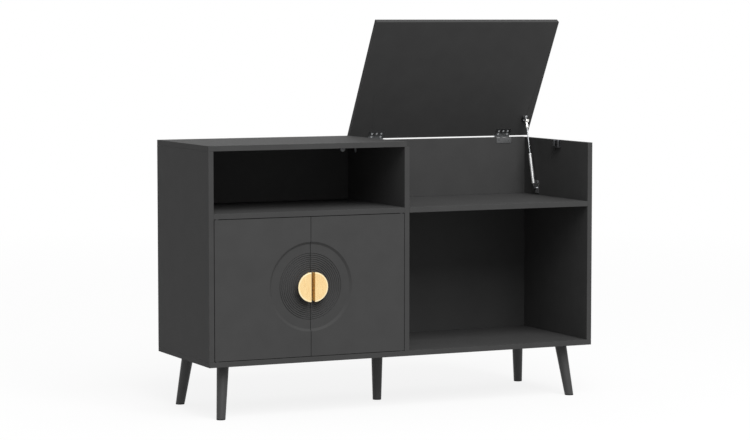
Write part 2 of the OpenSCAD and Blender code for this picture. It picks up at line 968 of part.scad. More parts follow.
module lid_hinge_lid_screws() {
    color(zinc_color) with_lid() at_lid_leaf_screws() countersunk_screw(hinge_screw);
}

// Gas strut

// Puts the children at the screws of the lid's bracket, with the lid shut
module at_lid_plate_screws() {
    for (y = [lid_plate_screw_in[1], lid_plate[1] - lid_plate_screw_in[1]])
        translate([ear_x + lid_plate[0] - lid_plate_screw_in[0], ball_shut[1] - lid_plate_ahead + y,
            lid_z - bracket_t]) children();
}

// Bracket on the lid: a plate behind the ball, and an ear beside it
module strut_lid_bracket() {
    color(black_color) with_lid() difference() {
        union() {
            translate([ear_x, ball_shut[1] - lid_plate_ahead, lid_z - bracket_t])
                cube([lid_plate[0], lid_plate[1], bracket_t]);
            box([ear_x, ball_shut[1] - ear_r, ball_shut[2]],
                [ear_x + bracket_t, ball_shut[1] + ear_r, lid_z - bracket_t]);
            rod_x([ear_x, ball_shut[1], ball_shut[2]], 2 * ear_r, bracket_t);
        }
        rod_x([ear_x - over, ball_shut[1], ball_shut[2]], ball_neck_d + 2 * fit, bracket_t + 2 * over);
        at_lid_plate_screws() countersunk_hole(bracket_screw);
    }
}

// Ball on a neck that is riveted through the ear
module strut_ball_stud() {
    color(bright_metal_color) with_lid() {
        translate(ball_shut) sphere(r = ball_r);
        rod_x([ear_x - over, ball_shut[1], ball_shut[2]], ball_neck_d, strut_x - ear_x + over);
        rod_x([ear_x - rivet[1], ball_shut[1], ball_shut[2]], rivet[0], rivet[1]);
    }
}

module strut_lid_screws() {
    color(zinc_color) with_lid() at_lid_plate_screws() countersunk_screw(bracket_screw);
}

// Socket that turns on the ball, with a shank and a collar that take the rod
module strut_ball_socket() {
    color(bright_metal_color) on_strut() translate([0, 0, strut_up]) difference() {
        union() {
            rod_x([-socket_open, 0, 0], socket_d, socket_open + socket_side);
            rod_z([0, 0, -shank_len], shank_d, shank_len);
            rod_z([0, 0, -shank_len], collar[0], collar[1]);
        }
        sphere(r = ball_r + running);
        rod_x([-socket_d, 0, 0], socket_mouth_d, socket_d);
        rod_z([0, 0, -shank_len - over], rod_d + 2 * fit, shank_len + over - ball_r - socket_wall);
    }
}

module strut_rod() {
    color(bright_metal_color) on_strut() rod_z([0, 0, rod_low], rod_d, rod_top - rod_low);
}

module strut_piston() {
    color(grey_color) on_strut() translate([0, 0, rod_low]) difference() {
        cylinder(d = tube_bore_d - 4 * running, h = piston_len);
        rod_z([0, 0, -over], rod_d + 2 * running, piston_len + 2 * over);
    }
}

module strut_tube() {
    color(bright_metal_color) on_strut() difference() {
        rod_z([0, 0, tube_foot], tube_d, tube_top - tube_foot);
        rod_z([0, 0, tube_foot + tube_end_t], tube_bore_d, tube_top);
    }
}

module strut_gland() {
    color(black_color) on_strut() translate([0, 0, tube_top - gland_len]) difference() {
        cylinder(d = tube_bore_d - 2 * running, h = gland_len);
        rod_z([0, 0, -over], rod_d + 2 * running, gland_len + 2 * over);
    }
}

// Eye at the tube's lower end: its face lies against the end of the bracket's stud
module strut_tube_eye() {
    color(black_color) on_strut() {
        rod_x([-eye_w / 2, 0, 0], eye_d, eye_w);
        cylinder(d = eye_stem_d, h = tube_foot);
    }
}

module at_side_plate_screws() {
    for (s = [-1, 1]) translate([side_x - bracket_t, foot[1],
        foot[2] + side_plate_up + s * (side_plate[1] / 2 - side_plate_screw_in)])
        rotate([0, 90, 0]) children();
}

// Bracket on the right side board, with the stud of the lower pivot
module strut_side_bracket() {
    color(bright_metal_color) difference() {
        union() {
            translate([side_x, foot[1], foot[2] + side_plate_up])
                box([-bracket_t, -side_plate[0] / 2, -side_plate[1] / 2],
                    [0, side_plate[0] / 2, side_plate[1] / 2]);
            rod_x([strut_x + eye_w / 2 + clear, foot[1], foot[2]], stud_d,
                strut_in - bracket_t / 2 - eye_w / 2 - clear);
        }
        at_side_plate_screws() countersunk_hole(bracket_screw);
    }
}

// Buffers

// Puts the children at a buffer: dir is 1 on the right side board and -1 on the divider. The
// board's face is at X = 0 there, the bay lies towards -X, and Z = 0 is the top of the board.
module at_buffer(dir) {
    translate([dir > 0 ? side_x : divider_x, front_y + buffer_in, under_top_z])
        rotate([0, 0, dir > 0 ? 0 : 180]) children();
}

module at_buffer_screw() {
    translate([-bracket_t, 0, buffer_screw_up - buffer_plate[1]]) rotate([0, 90, 0]) children();
}

module at_buffer_pins() {
    for (dir = [-1, 1], s = [-1, 1]) at_buffer(dir)
        translate([-bracket_t - fit - buffer_pin_d / 2, s * buffer_spread / 2, -buffer_plate[1]])
            children();
}

// Plate on the board with a ledge that carries the two pins
module lid_buffer_housings() {
    half = buffer_plate[0] / 2;
    color(black_color) for (dir = [-1, 1]) at_buffer(dir) difference() {
        union() {
            box([-bracket_t, -half, -buffer_plate[1]], [0, half, -buffer_plate_down]);
            box([-buffer_ledge[0], -half, -buffer_plate[1] - buffer_ledge[1]],
                [0, half, -buffer_plate[1]]);
        }
        at_buffer_screw() countersunk_hole(bracket_screw);
    }
}

module lid_buffer_pins() {
    color(grey_color) at_buffer_pins() cylinder(d = buffer_pin_d, h = buffer_plate[1] - buffer_tip_h);
}

module lid_buffer_tips() {
    color(grey_color) at_buffer_pins() rod_z([0, 0, buffer_plate[1] - buffer_tip_h],
        buffer_pin_d, buffer_tip_h + lid_rest - clear);
}

// Screws of the side bracket and of the buffers
module bracket_screws() {
    color(zinc_color) {
        at_side_plate_screws() countersunk_screw(bracket_screw);
        for (dir = [-1, 1]) at_buffer(dir) at_buffer_screw() countersunk_screw(bracket_screw);
    }
}

// Legs

// A tapered leg down -Z from the bottom board, which runs past both ends; shrink is radial
module leg_cone(tilt, shrink = 0) {
    len = leg_h / cos(tilt);
    past = leg_top_d;
    slope = (leg_top_d - leg_foot_d) / 2 / len;
    translate([0, 0, -len - past]) cylinder(r1 = leg_foot_d / 2 - slope * past - shrink,
        r2 = leg_top_d / 2 + slope * past - shrink, h = len + 2 * past);
}

// What lies between two heights
module between(z0, z1) {
    intersection() {
        children();
        box([-cabinet_w, -cabinet_d, z0], [cabinet_w, cabinet_d, z1]);
    }
}

module leg_bolt_shape(grow = 0) {
    rod_z([0, 0, -bolt_in_leg - grow], bolt_d + 2 * grow, bolt_in_leg + bolt_up + grow);
}

module corner_leg() {
    color(leg_color) difference() {
        between(glide_t, bottom_z - plate_t) on_leg() leg_cone(leg_tilt);
        on_leg() leg_bolt_shape(fit);
    }
}

module front_left_leg() {
    corner_leg();
}

module front_right_leg() {
    mirror([1, 0, 0]) corner_leg();
}

module rear_left_leg() {
    mirror([0, 1, 0]) corner_leg();
}

module rear_right_leg() {
    mirror([1, 0, 0]) mirror([0, 1, 0]) corner_leg();
}

module centre_leg() {
    color(leg_color) difference() {
        between(glide_t, bottom_z - plate_t) translate([0, 0, bottom_z]) leg_cone(0);
        translate([0, 0, bottom_z]) leg_bolt_shape(fit);
    }
}

// Puts the children at the tops of the five legs, square to the cabinet
module at_leg_tops() {
    four_corners() translate([-leg_x, -leg_y, bottom_z]) children();
    translate([0, 0, bottom_z]) children();
}

// Puts the children on the axes of the five legs
module on_legs() {
    four_corners() on_leg() children();
    translate([0, 0, bottom_z]) children();
}

module at_plate_screws() {
    at = plate_w / 2 - plate_screw_in;
    at_leg_tops() for (x = [-at, at], y = [-at, at]) translate([x, y, -plate_t]) children();
}

module leg_plates() {
    half = plate_w / 2;
    color(black_color) difference() {
        at_leg_tops() box([-half, -half, -plate_t], [half, half, 0]);
        at_plate_screws() pan_hole(plate_screw);
        on_legs() leg_bolt_shape(fit);
    }
}

module leg_plate_screws() {
    color(zinc_color) at_plate_screws() pan_screw(plate_screw);
}

module leg_bolts() {
    color(zinc_color) on_legs() leg_bolt_shape();
}

module leg_glides() {
    color(black_color) between(0, glide_t) {
        four_corners() on_leg() leg_cone(leg_tilt, fit);
        translate([0, 0, bottom_z]) leg_cone(0, fit);
    }
}

// Knock-down fittings

// All cam joints but the one on top of the divider, whose bolt lies nearer to the face
module at_board_cams() {
    at_left_shelf(left_cam_y) children();
    at_right_shelf(right_cam_y) children();
    at_side_top_cam() children();
    at_cubby_back_cams() children();
    at_well_back_cams() children();
}

module cam_locks() {
    color(zinc_color) {
        at_board_cams() cam_lock();
        at_divider_top_cam() cam_lock(divider_x + top_joint_x);
    }
}

module cam_bolts() {
    color(zinc_color) {
        at_board_cams() cam_bolt();
        at_divider_top_cam() cam_bolt();
    }
}

module wood_dowels() {
    color(dowel_color) {
        at_left_shelf(left_dowel_y) wood_dowel();
        at_right_shelf(right_dowel_y) wood_dowel();
        at_top_dowels(-side_x - board_t / 2) wood_dowel();
        at_top_dowels(top_joint_x) wood_dowel(slim_dowel_d);
        at_cubby_back_dowels() wood_dowel();
    }
}

module bottom_screws() {
    color(zinc_color) at_bottom_screws() difference() {
        bottom_screw_shape();
        cross_recess(bottom_screw[0]);
    }
}

left_side_panel();
right_side_panel();
centre_divider();
bottom_panel();
left_top_panel();
cubby_shelf();
turntable_shelf();
cubby_back();
well_back();
cupboard_back();
record_bay_back();
left_door();
right_door();
left_handle();
right_handle();
left_handle_screws();
right_handle_screws();
left_door_pivot_pins();
right_door_pivot_pins();
door_pivot_bushes();
catch_housing();
catch_magnets();
catch_screws();
left_catch_strike();
right_catch_strike();
lid_panel();
lid_hinge_frame_leaves();
lid_hinge_lid_leaves();
lid_hinge_pins();
lid_hinge_frame_screws();
lid_hinge_lid_screws();
strut_lid_bracket();
strut_ball_stud();
strut_lid_screws();
strut_ball_socket();
strut_rod();
strut_piston();
strut_tube();
strut_gland();
strut_tube_eye();
strut_side_bracket();
bracket_screws();
lid_buffer_housings();
lid_buffer_pins();
lid_buffer_tips();
front_left_leg();
front_right_leg();
rear_left_leg();
rear_right_leg();
centre_leg();
leg_plates();
leg_plate_screws();
leg_bolts();
leg_glides();
cam_locks();
cam_bolts();
wood_dowels();
bottom_screws();
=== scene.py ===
"""Record player stand: the looks, the light and the camera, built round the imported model.

Metres, +X to the right, +Y to the rear, +Z up, with the floor at Z = 0. Sizes in the classes of the
stand are in millimetres, as on a drawing, and turn to metres where a mesh or a material is made.
"""

from __future__ import annotations

import json
import logging
import math
from dataclasses import dataclass, field
from enum import Enum, IntEnum
from typing import Any, Sequence

import bmesh
import bpy
from mathutils import Matrix, Vector

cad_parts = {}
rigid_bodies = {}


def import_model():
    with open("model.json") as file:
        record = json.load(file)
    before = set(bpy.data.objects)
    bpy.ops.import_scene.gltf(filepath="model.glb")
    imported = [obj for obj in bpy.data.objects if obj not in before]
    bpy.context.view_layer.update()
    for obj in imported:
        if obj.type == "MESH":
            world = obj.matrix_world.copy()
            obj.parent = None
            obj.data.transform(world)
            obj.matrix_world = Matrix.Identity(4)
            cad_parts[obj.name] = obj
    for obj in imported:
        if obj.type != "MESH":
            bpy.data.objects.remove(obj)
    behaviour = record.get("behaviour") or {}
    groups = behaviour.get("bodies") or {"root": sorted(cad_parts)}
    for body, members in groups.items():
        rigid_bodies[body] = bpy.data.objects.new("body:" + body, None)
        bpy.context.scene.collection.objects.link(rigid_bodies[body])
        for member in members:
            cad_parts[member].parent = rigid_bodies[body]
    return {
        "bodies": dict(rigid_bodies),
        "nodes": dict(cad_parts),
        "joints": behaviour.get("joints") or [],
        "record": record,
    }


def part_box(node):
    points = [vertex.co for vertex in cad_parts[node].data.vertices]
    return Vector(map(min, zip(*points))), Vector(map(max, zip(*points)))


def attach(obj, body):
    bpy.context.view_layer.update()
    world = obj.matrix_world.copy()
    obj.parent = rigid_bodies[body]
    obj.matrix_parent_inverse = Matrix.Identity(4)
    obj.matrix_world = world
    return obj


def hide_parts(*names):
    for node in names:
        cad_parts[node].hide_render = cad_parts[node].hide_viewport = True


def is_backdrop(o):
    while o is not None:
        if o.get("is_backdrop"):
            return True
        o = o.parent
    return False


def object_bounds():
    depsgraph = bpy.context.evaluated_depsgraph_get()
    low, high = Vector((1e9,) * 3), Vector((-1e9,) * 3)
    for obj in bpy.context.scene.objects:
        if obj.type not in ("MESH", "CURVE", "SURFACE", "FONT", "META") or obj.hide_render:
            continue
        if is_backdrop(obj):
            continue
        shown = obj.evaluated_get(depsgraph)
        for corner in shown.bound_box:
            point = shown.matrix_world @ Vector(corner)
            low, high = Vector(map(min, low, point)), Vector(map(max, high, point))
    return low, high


LOG = logging.getLogger("record_player_stand")
Socket = bpy.types.NodeSocket
Rgba = tuple[float, float, float, float]
Pairs = tuple[tuple[float, float], ...]

# One millimetre in metres.
MM = 0.001
WHITE: Rgba = (1.0, 1.0, 1.0, 1.0)

# Noise keeps mostly between these two values, which stand for none and all of a pattern.
NOISE_LOW, NOISE_HIGH = 0.3, 0.7
# How many finer layers of noise lie in the grain and in the clouds, and how strong they are.
GRAIN_DETAIL, CLOUD_DETAIL, NOISE_ROUGHNESS = 3.0, 2.0, 0.55

# Numbers of the mix node's sockets, whose names repeat.
MIX_SHARE, MIX_FLOAT_A, MIX_FLOAT_B, MIX_COLOUR_A, MIX_COLOUR_B = 0, 2, 3, 6, 7
MIXED_FLOAT, MIXED_COLOUR = 0, 2

# Corners closer than this are welded before the arrises are rounded.
WELD_MM = 0.01
# Edges that turn more than this are arrises, and edges that turn more than the second stay sharp.
ARRIS_TURN_DEG = 40.0
SHARP_TURN_DEG = 32.0
# Faces across an arris, and the bevel's profile that makes them a round.
ARRIS_SEGMENTS, ROUND_PROFILE = 2, 0.5
# Two places this close are one place.
TOUCH_MM = 1e-4
# Keeps a division from zero.
TINY = 1e-6


def linear(code: str) -> Rgba:
    """Turns an sRGB hex colour into the linear one that a shader takes.

    Args:
        code: The colour as #rrggbb.

    Returns:
        Red, green, blue and an alpha of 1.
    """
    parts = [int(code[i : i + 2], 16) / 255 for i in (1, 3, 5)]
    red, green, blue = [c / 12.92 if c <= 0.04045 else ((c + 0.055) / 1.055) ** 2.4 for c in parts]
    return red, green, blue, 1.0


def add_node(tree: bpy.types.NodeTree, kind: str, settings: dict[str, Any] | None = None,
             inputs: dict[Any, Any] | None = None) -> bpy.types.Node:
    """Adds a node with its settings and its links.

    Args:
        tree: The node tree that gets the node.
        kind: The node's type.
        settings: Properties of the node.
        inputs: A value, or a socket to link, for each input's name or number.

    Returns:
        The new node.
    """
    node = tree.nodes.new(kind)
    for name, value in (settings or {}).items():
        setattr(node, name, value)
    for name, value in (inputs or {}).items():
        if isinstance(value, Socket):
            tree.links.new(value, node.inputs[name])
        else:
            node.inputs[name].default_value = value
    return node


def new_material(name: str) -> bpy.types.Material:
    """Makes a material whose node tree is still empty.

    Args:
        name: The material's name.

    Returns:
        The material.
    """
    material = bpy.data.materials.new(name)
    material.use_nodes = True
    material.node_tree.nodes.clear()
    return material


def new_piece(name: str, mesh: bmesh.types.BMesh) -> bpy.types.Object:
    """Makes an object of the scene from a mesh, and frees the mesh.

    Args:
        name: The object's name.
        mesh: Its faces, in metres.

    Returns:
        The object.
    """
    data = bpy.data.meshes.new(name)
    mesh.to_mesh(data)
    mesh.free()
    piece = bpy.data.objects.new(name, data)
    bpy.context.scene.collection.objects.link(piece)
    return piece


class Grain(Enum):
    """How a grain is drawn out: what its places along X, Y and Z are multiplied by.

    At 0.03 the grain gets 33 times as long that way.
    """

    EVEN = (1.0, 1.0, 1.0)
    ALONG_X = (0.03, 1.0, 1.0)
    ALONG_Z = (1.0, 1.0, 0.03)


@dataclass(frozen=True)
class Finish:
    """A real material and how its surface was made.

    Attributes:
        name: The material's name.
        colour: The sRGB hex colour at one end of its spread.
        second_colour: The colour at the other end.
        roughness: The middle of its roughness.
        grain_mm: Width of the grain, coarser than the real one where that would not show.
        cloud_mm: Width of the broad clouds in its colour.
        spread: How far the roughness goes to either side of its middle.
        metallic: Share of bare metal.
        specular: Strength of the plain reflection, where 0.5 is that of the usual IOR.
        coat: Share of a clear coat.
        grain: How the grain is drawn out.
        grain_height_mm: How far the grain stands up.
        colour_by_grain: Share of the grain in the colour, where the clouds have the rest.
    """

    name: str
    colour: str
    second_colour: str
    roughness: float
    grain_mm: float
    cloud_mm: float
    spread: float = 0.05
    metallic: float = 0.0
    specular: float = 0.5
    coat: float = 0.0
    grain: Grain = Grain.EVEN
    grain_height_mm: float = 0.0
    colour_by_grain: float = 0.35

    def build(self) -> bpy.types.Material:
        """Makes the material, or gives the one made before.

        Returns:
            The material, with grain and clouds in its colour and grain in its roughness and relief.
        """
        found = bpy.data.materials.get(self.name)
        if found:
            return found
        material = new_material(self.name)
        tree = material.node_tree
        place = add_node(tree, "ShaderNodeTexCoord").outputs["Object"]
        drawn_out = add_node(tree, "ShaderNodeMapping", {"vector_type": "POINT"},
                             {"Vector": place, "Scale": self.grain.value}).outputs["Vector"]
        grain, clouds = [
            add_node(tree, "ShaderNodeTexNoise", {"noise_dimensions": "3D"},
                     {"Vector": where, "Scale": 1 / (width_mm * MM), "Detail": detail,
                      "Roughness": NOISE_ROUGHNESS}).outputs[0]
            for where, width_mm, detail in ((drawn_out, self.grain_mm, GRAIN_DETAIL),
                                            (place, self.cloud_mm, CLOUD_DETAIL))
        ]
        both = add_node(tree, "ShaderNodeMix", {"data_type": "FLOAT"}, {
            MIX_SHARE: self.colour_by_grain, MIX_FLOAT_A: clouds, MIX_FLOAT_B: grain,
        }).outputs[MIXED_FLOAT]
        share = add_node(tree, "ShaderNodeMapRange", inputs={
            "Value": both, "From Min": NOISE_LOW, "From Max": NOISE_HIGH,
        }).outputs["Result"]
        colour = add_node(tree, "ShaderNodeMix", {"data_type": "RGBA"}, {
            MIX_SHARE: share, MIX_COLOUR_A: linear(self.colour),
            MIX_COLOUR_B: linear(self.second_colour),
        }).outputs[MIXED_COLOUR]
        roughness = add_node(tree, "ShaderNodeMapRange", inputs={
            "Value": grain, "From Min": NOISE_LOW, "From Max": NOISE_HIGH,
            "To Min": self.roughness - self.spread,
            "To Max": self.roughness + self.spread,
        }).outputs["Result"]
        inputs: dict[Any, Any] = {
            "Base Color": colour,
            "Roughness": roughness,
            "Metallic": self.metallic,
            "Specular IOR Level": self.specular,
            "Coat Weight": self.coat,
        }
        if self.grain_height_mm:
            inputs["Normal"] = add_node(tree, "ShaderNodeBump", inputs={
                "Height": grain, "Distance": self.grain_height_mm * MM, "Strength": 1.0,
            }).outputs["Normal"]
        shader = add_node(tree, "ShaderNodeBsdfPrincipled", inputs=inputs)
        add_node(tree, "ShaderNodeOutputMaterial", inputs={"Surface": shader.outputs["BSDF"]})
        return material


# Particle board faced with resin-soaked decor paper, pressed against a sand-blasted plate: an even,
# matt charcoal whose fine sand takes the edge off every reflection. The sand is 0.2 mm on the real
# one and is drawn at 1.1 mm, so that it shows.
MELAMINE = Finish(
    "charcoal_melamine", "#404040", "#444444", roughness=0.68, spread=0.06,
    specular=0.08, grain_mm=1.1, grain_height_mm=0.02, cloud_mm=60,
)
# Thin fibreboard with a printed foil: smoother, a little more sheen, no sand.
FOILED_FIBREBOARD = Finish(
    "foiled_fibreboard", "#343434", "#383838", roughness=0.6, spread=0.04,
    specular=0.2, grain_mm=2.5, grain_height_mm=0.008, cloud_mm=90,
)
# Rubberwood turned on a lathe and sprayed: the grain still lifts the paint in faint streaks.
PAINTED_WOOD = Finish(
    "painted_turned_wood", "#353535", "#3b3b3b", roughness=0.5, spread=0.06,
    specular=0.35, grain=Grain.ALONG_Z, grain_mm=0.9, grain_height_mm=0.03, cloud_mm=30,
)
# Zinc casting plated in brass colour and brushed up and down, then lacquered: long soft streaks of
# light. The strokes are 0.1 mm apart on the real one and are drawn at 0.7 mm, so that they show.
BRUSHED_BRASS = Finish(
    "brushed_plated_brass", "#f4ca8b", "#ffe6af", roughness=0.3, spread=0.08,
    metallic=1.0, grain=Grain.ALONG_Z, grain_mm=0.7, grain_height_mm=0.006, cloud_mm=25,
    colour_by_grain=0.75,
)
# The same plating on the bevel, cut after brushing: closer than the face, and given a paler colour
# that is partly a painted highlight along the rim.
CUT_BRASS_AND_HIGHLIGHT = Finish(
    "cut_brass_painted_highlight", "#ffe6b2", "#fff0c8", roughness=0.3, spread=0.04,
    metallic=1.0, grain_mm=0.5, cloud_mm=15,
)
# The same colour behind the face, lacquered over the rough casting: a dull gold that scatters what
# little light gets in between the handles.
CAST_BRASS = Finish(
    "lacquered_rough_casting", "#f4c670", "#f9d080", roughness=0.5, metallic=0.25,
    grain_mm=0.9, grain_height_mm=0.02, cloud_mm=8,
)
# Steel with blue zinc plating: pale grey, with a faint crystal cloud.
ZINC_PLATE = Finish(
    "zinc_plated_steel", "#b6b7b9", "#c8c9cb", roughness=0.34, spread=0.07,
    metallic=1.0, grain_mm=0.8, grain_height_mm=0.004, cloud_mm=6,
)
# Zinc flakes baked on in a binder, as on rust-proof screws: a matt silver grey.
ZINC_FLAKE = Finish(
    "zinc_flake_coat", "#c6c8ca", "#d8dadc", roughness=0.55, spread=0.06,
    metallic=0.3, grain_mm=0.6, grain_height_mm=0.006, cloud_mm=5,
)
# Turned steel with nickel plating: bright, with a warm tint.
NICKEL_PLATE = Finish(
    "bright_nickel_plate", "#e9e7e2", "#f4f3ef", roughness=0.24, metallic=1.0,
    grain_mm=0.6, grain_height_mm=0.002, cloud_mm=8,
)
# Stamped steel, tumbled and then plated in dark nickel: a mid grey with a soft gloss.
DARK_NICKEL = Finish(
    "dark_nickel_plate", "#7a7b7c", "#898a8b", roughness=0.38, spread=0.07,
    metallic=1.0, grain_mm=0.7, grain_height_mm=0.006, cloud_mm=7,
)
# Ground steel rod, hardened in a salt bath and polished: a mid grey with a clear gloss.
GROUND_STEEL = Finish(
    "hardened_ground_steel", "#a0a2a4", "#acaeb0", roughness=0.18, spread=0.03,
    metallic=1.0, grain_mm=0.4, cloud_mm=12,
)
# Drawn steel tube with silver lacquer, whose flakes glitter a little.
SILVER_LACQUER = Finish(
    "silver_lacquered_tube", "#c6c6c6", "#d8d8d8", roughness=0.36, spread=0.08,
    metallic=0.7, coat=0.3, grain_mm=0.5, grain_height_mm=0.003, cloud_mm=10,
)
# Zinc alloy cast under pressure: a pale, dull skin with flow marks.
CAST_ZINC = Finish(
    "die_cast_zinc", "#dcdddf", "#ebecee", roughness=0.5, spread=0.06,
    metallic=0.25, grain_mm=1.2, grain_height_mm=0.02, cloud_mm=5,
)
# Pressed ferrite: dark, dull and slightly gritty.
FERRITE = Finish(
    "pressed_ferrite", "#3b3b3d", "#47474a", roughness=0.6, metallic=0.4,
    grain_mm=0.9, grain_height_mm=0.02, cloud_mm=5,
)
# Moulded ABS with a spark-eroded texture: soft black with a wide, dim sheen.
BLACK_ABS = Finish(
    "moulded_black_abs", "#232325", "#29292b", roughness=0.46,
    grain_mm=0.6, grain_height_mm=0.012, cloud_mm=12,
)
# Moulded acetal in dark grey: smooth and a bit waxy.
GREY_ACETAL = Finish(
    "moulded_grey_acetal", "#292a2b", "#313234", roughness=0.38, spread=0.04,
    grain_mm=1.5, grain_height_mm=0.004, cloud_mm=9,
)
# Soft rubber moulded in grey, on the buffers' tips: dull, with a fine tooth.
GREY_RUBBER = Finish(
    "moulded_grey_rubber", "#55565a", "#606165", roughness=0.75,
    specular=0.3, grain_mm=0.6, grain_height_mm=0.015, cloud_mm=6,
)
# The same rubber in black, under the legs: duller, with a coarser tooth.
BLACK_RUBBER = Finish(
    "moulded_black_rubber", "#1e1e1f", "#252526", roughness=0.78,
    specular=0.3, grain_mm=0.7, grain_height_mm=0.02, cloud_mm=9,
)
# Steel with black powder coat: small orange-peel waves in a soft gloss.
POWDER_COAT = Finish(
    "black_powder_coat", "#262628", "#2c2c2e", roughness=0.4, spread=0.06,
    grain_mm=1.8, grain_height_mm=0.03, cloud_mm=20,
)
# Beech rod, fluted and planed: pale, with short brown flecks along the grain.
BEECH = Finish(
    "plain_beech", "#bf9c6b", "#d3b487", roughness=0.6, spread=0.06,
    grain=Grain.ALONG_X, grain_mm=0.8, grain_height_mm=0.03, cloud_mm=8, colour_by_grain=0.8,
)


def arris_edges(longer_than_mm: float) -> bpy.types.NodeTree:
    """Marks the sharp edges over a length for rounding.

    Args:
        longer_than_mm: The length, in millimetres.

    Returns:
        The node group of a modifier that weighs these edges for the bevel that follows it.
    """
    name = f"edges_over_{longer_than_mm:g}_mm"
    found = bpy.data.node_groups.get(name)
    if found:
        return found
    group = bpy.data.node_groups.new(name, "GeometryNodeTree")
    for way in ("INPUT", "OUTPUT"):
        group.interface.new_socket("Geometry", in_out=way, socket_type="NodeSocketGeometry")
    shape = add_node(group, "NodeGroupInput").outputs[0]
    ends = add_node(group, "GeometryNodeInputMeshEdgeVertices").outputs
    length = add_node(group, "ShaderNodeVectorMath", {"operation": "DISTANCE"},
                      {0: ends["Position 1"], 1: ends["Position 2"]}).outputs["Value"]
    angle = add_node(group, "GeometryNodeInputMeshEdgeAngle").outputs["Unsigned Angle"]
    is_long, is_sharp = [
        add_node(group, "FunctionNodeCompare", {"data_type": "FLOAT", "operation": "GREATER_THAN"},
                 {0: measure, 1: limit}).outputs[0]
        for measure, limit in ((length, longer_than_mm * MM), (angle, math.radians(ARRIS_TURN_DEG)))
    ]
    both = add_node(group, "FunctionNodeBooleanMath", {"operation": "AND"},
                    {0: is_long, 1: is_sharp}).outputs[0]
    marked = add_node(group, "GeometryNodeStoreNamedAttribute",
                      {"data_type": "FLOAT", "domain": "EDGE"},
                      {"Geometry": shape, "Selection": both, "Name": "bevel_weight_edge",
                       "Value": 1.0}).outputs[0]
    add_node(group, "NodeGroupOutput", inputs={0: marked})
    return group


class Stand:
    """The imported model, with what every sub-assembly needs of it."""

    def __init__(self) -> None:
        """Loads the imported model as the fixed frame."""
        self.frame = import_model()
        self.nodes: dict[str, bpy.types.Object] = self.frame["nodes"]
        self.joints = {joint["name"]: joint for joint in self.frame["joints"]}

    def dress(self, finish: Finish, *names: str, arris_mm: float = 0.0,
              longer_than_mm: float = 0.0) -> None:
        """Gives nodes their finish, and rounds their arrises.

        Args:
            finish: The finish for all of their faces.
            *names: The nodes.
            arris_mm: How far the arrises are rounded, or 0 to leave them as they are.
            longer_than_mm: Only longer edges are rounded, which leaves out the rims of holes.
        """
        for name in names:
            node = self.nodes[name]
            node.data.materials.clear()
            node.data.materials.append(finish.build())
            if arris_mm:
                weld = node.modifiers.new("weld", "WELD")
                weld.merge_threshold = WELD_MM * MM
                marks = node.modifiers.new("marked_edges", "NODES")
                marks.node_group = arris_edges(longer_than_mm)
                bevel = node.modifiers.new("arris", "BEVEL")
                bevel.width = arris_mm * MM
                bevel.segments = ARRIS_SEGMENTS
                bevel.limit_method = "WEIGHT"
                bevel.use_clamp_overlap = False
                bevel.harden_normals = True
            LOG.info("dressed %s in %s", name, finish.name)

    def add(self, name: str, mesh: bmesh.types.BMesh, body: str, *replaced: str, slot: str,
            finishes: Sequence[Finish]) -> None:
        """Adds a piece that stands for nodes and rides on a body.

        Args:
            name: The piece's name.
            mesh: Its faces, in metres, in the frame of the stand.
            body: The body on which it rides.
            *replaced: The nodes that it stands for.
            slot: The record's material slot for the piece; not used.
            finishes: The finish of each material number.
        """
        bmesh.ops.recalc_face_normals(mesh, faces=mesh.faces)
        piece = new_piece(name, mesh)
        data = piece.data
        for finish in finishes:
            data.materials.append(finish.build())
        data.shade_smooth()
        data.set_sharp_from_angle(angle=math.radians(SHARP_TURN_DEG))
        even = piece.modifiers.new("even_faces", "WEIGHTED_NORMAL")
        even.keep_sharp = True
        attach(piece, body)
        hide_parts(*replaced)
        LOG.info("built %s with %d faces for %s", name, len(data.polygons), ", ".join(replaced))


def strip(mesh: bmesh.types.BMesh, rows: Sequence[Sequence[bmesh.types.BMVert]],
          closed: bool) -> None:
    """Fills the faces between neighbouring rows of points.

    Args:
        mesh: The mesh that holds the points.
        rows: Rows with the same number of points each.
        closed: Whether each row goes round to its first point.
    """
    for low, high in zip(rows, rows[1:]):
        count = len(low)
        for i in range(count if closed else count - 1):
            j = (i + 1) % count
            mesh.faces.new((low[i], low[j], high[j], high[i]))


def tube(mesh: bmesh.types.BMesh, rows: Sequence[Sequence[bmesh.types.BMVert]]) -> None:
    """Fills the faces between neighbouring closed rows, and both ends.

    Args:
        mesh: The mesh that holds the points.
        rows: Rows with the same number of points each.
    """
    strip(mesh, rows, closed=True)
    mesh.faces.new(rows[0])
    mesh.faces.new(rows[-1])


def turned(mesh: bmesh.types.BMesh, outline: Sequence[tuple[float, float]], place: Matrix,
           steps: int) -> None:
    """Turns an outline about Z, as on a lathe, and closes it at both ends.

    Args:
        mesh: The mesh that gets the faces.
        outline: Radius and height of each corner, in millimetres, from one end to the other.
        place: Where the turned form goes.
        steps: Number of faces round it.
    """
    rows = []
    for radius, height in outline:
        row = []
        for i in range(steps):
            angle = math.tau * i / steps
            point = Vector((radius * MM * math.cos(angle), radius * MM * math.sin(angle),
                            height * MM))
            row.append(mesh.verts.new(place @ point))
        rows.append(row)
    tube(mesh, rows)


@dataclass
class Carcass:
    """The boards of the cabinet, which are seen from all sides."""

    boards: tuple[str, ...] = (
        "left_side_panel", "right_side_panel", "centre_divider", "bottom_panel", "left_top_panel",
        "cubby_shelf", "turntable_shelf", "cubby_back", "well_back",
    )
    thin_backs: tuple[str, ...] = ("cupboard_back", "record_bay_back")
    arris: float = 0.6
    shortest: float = 9.0

    def build(self, stand: Stand) -> None:
        """Dresses the boards and softens their arrises."""
        stand.dress(MELAMINE, *self.boards, arris_mm=self.arris, longer_than_mm=self.shortest)
        stand.dress(FOILED_FIBREBOARD, *self.thin_backs)


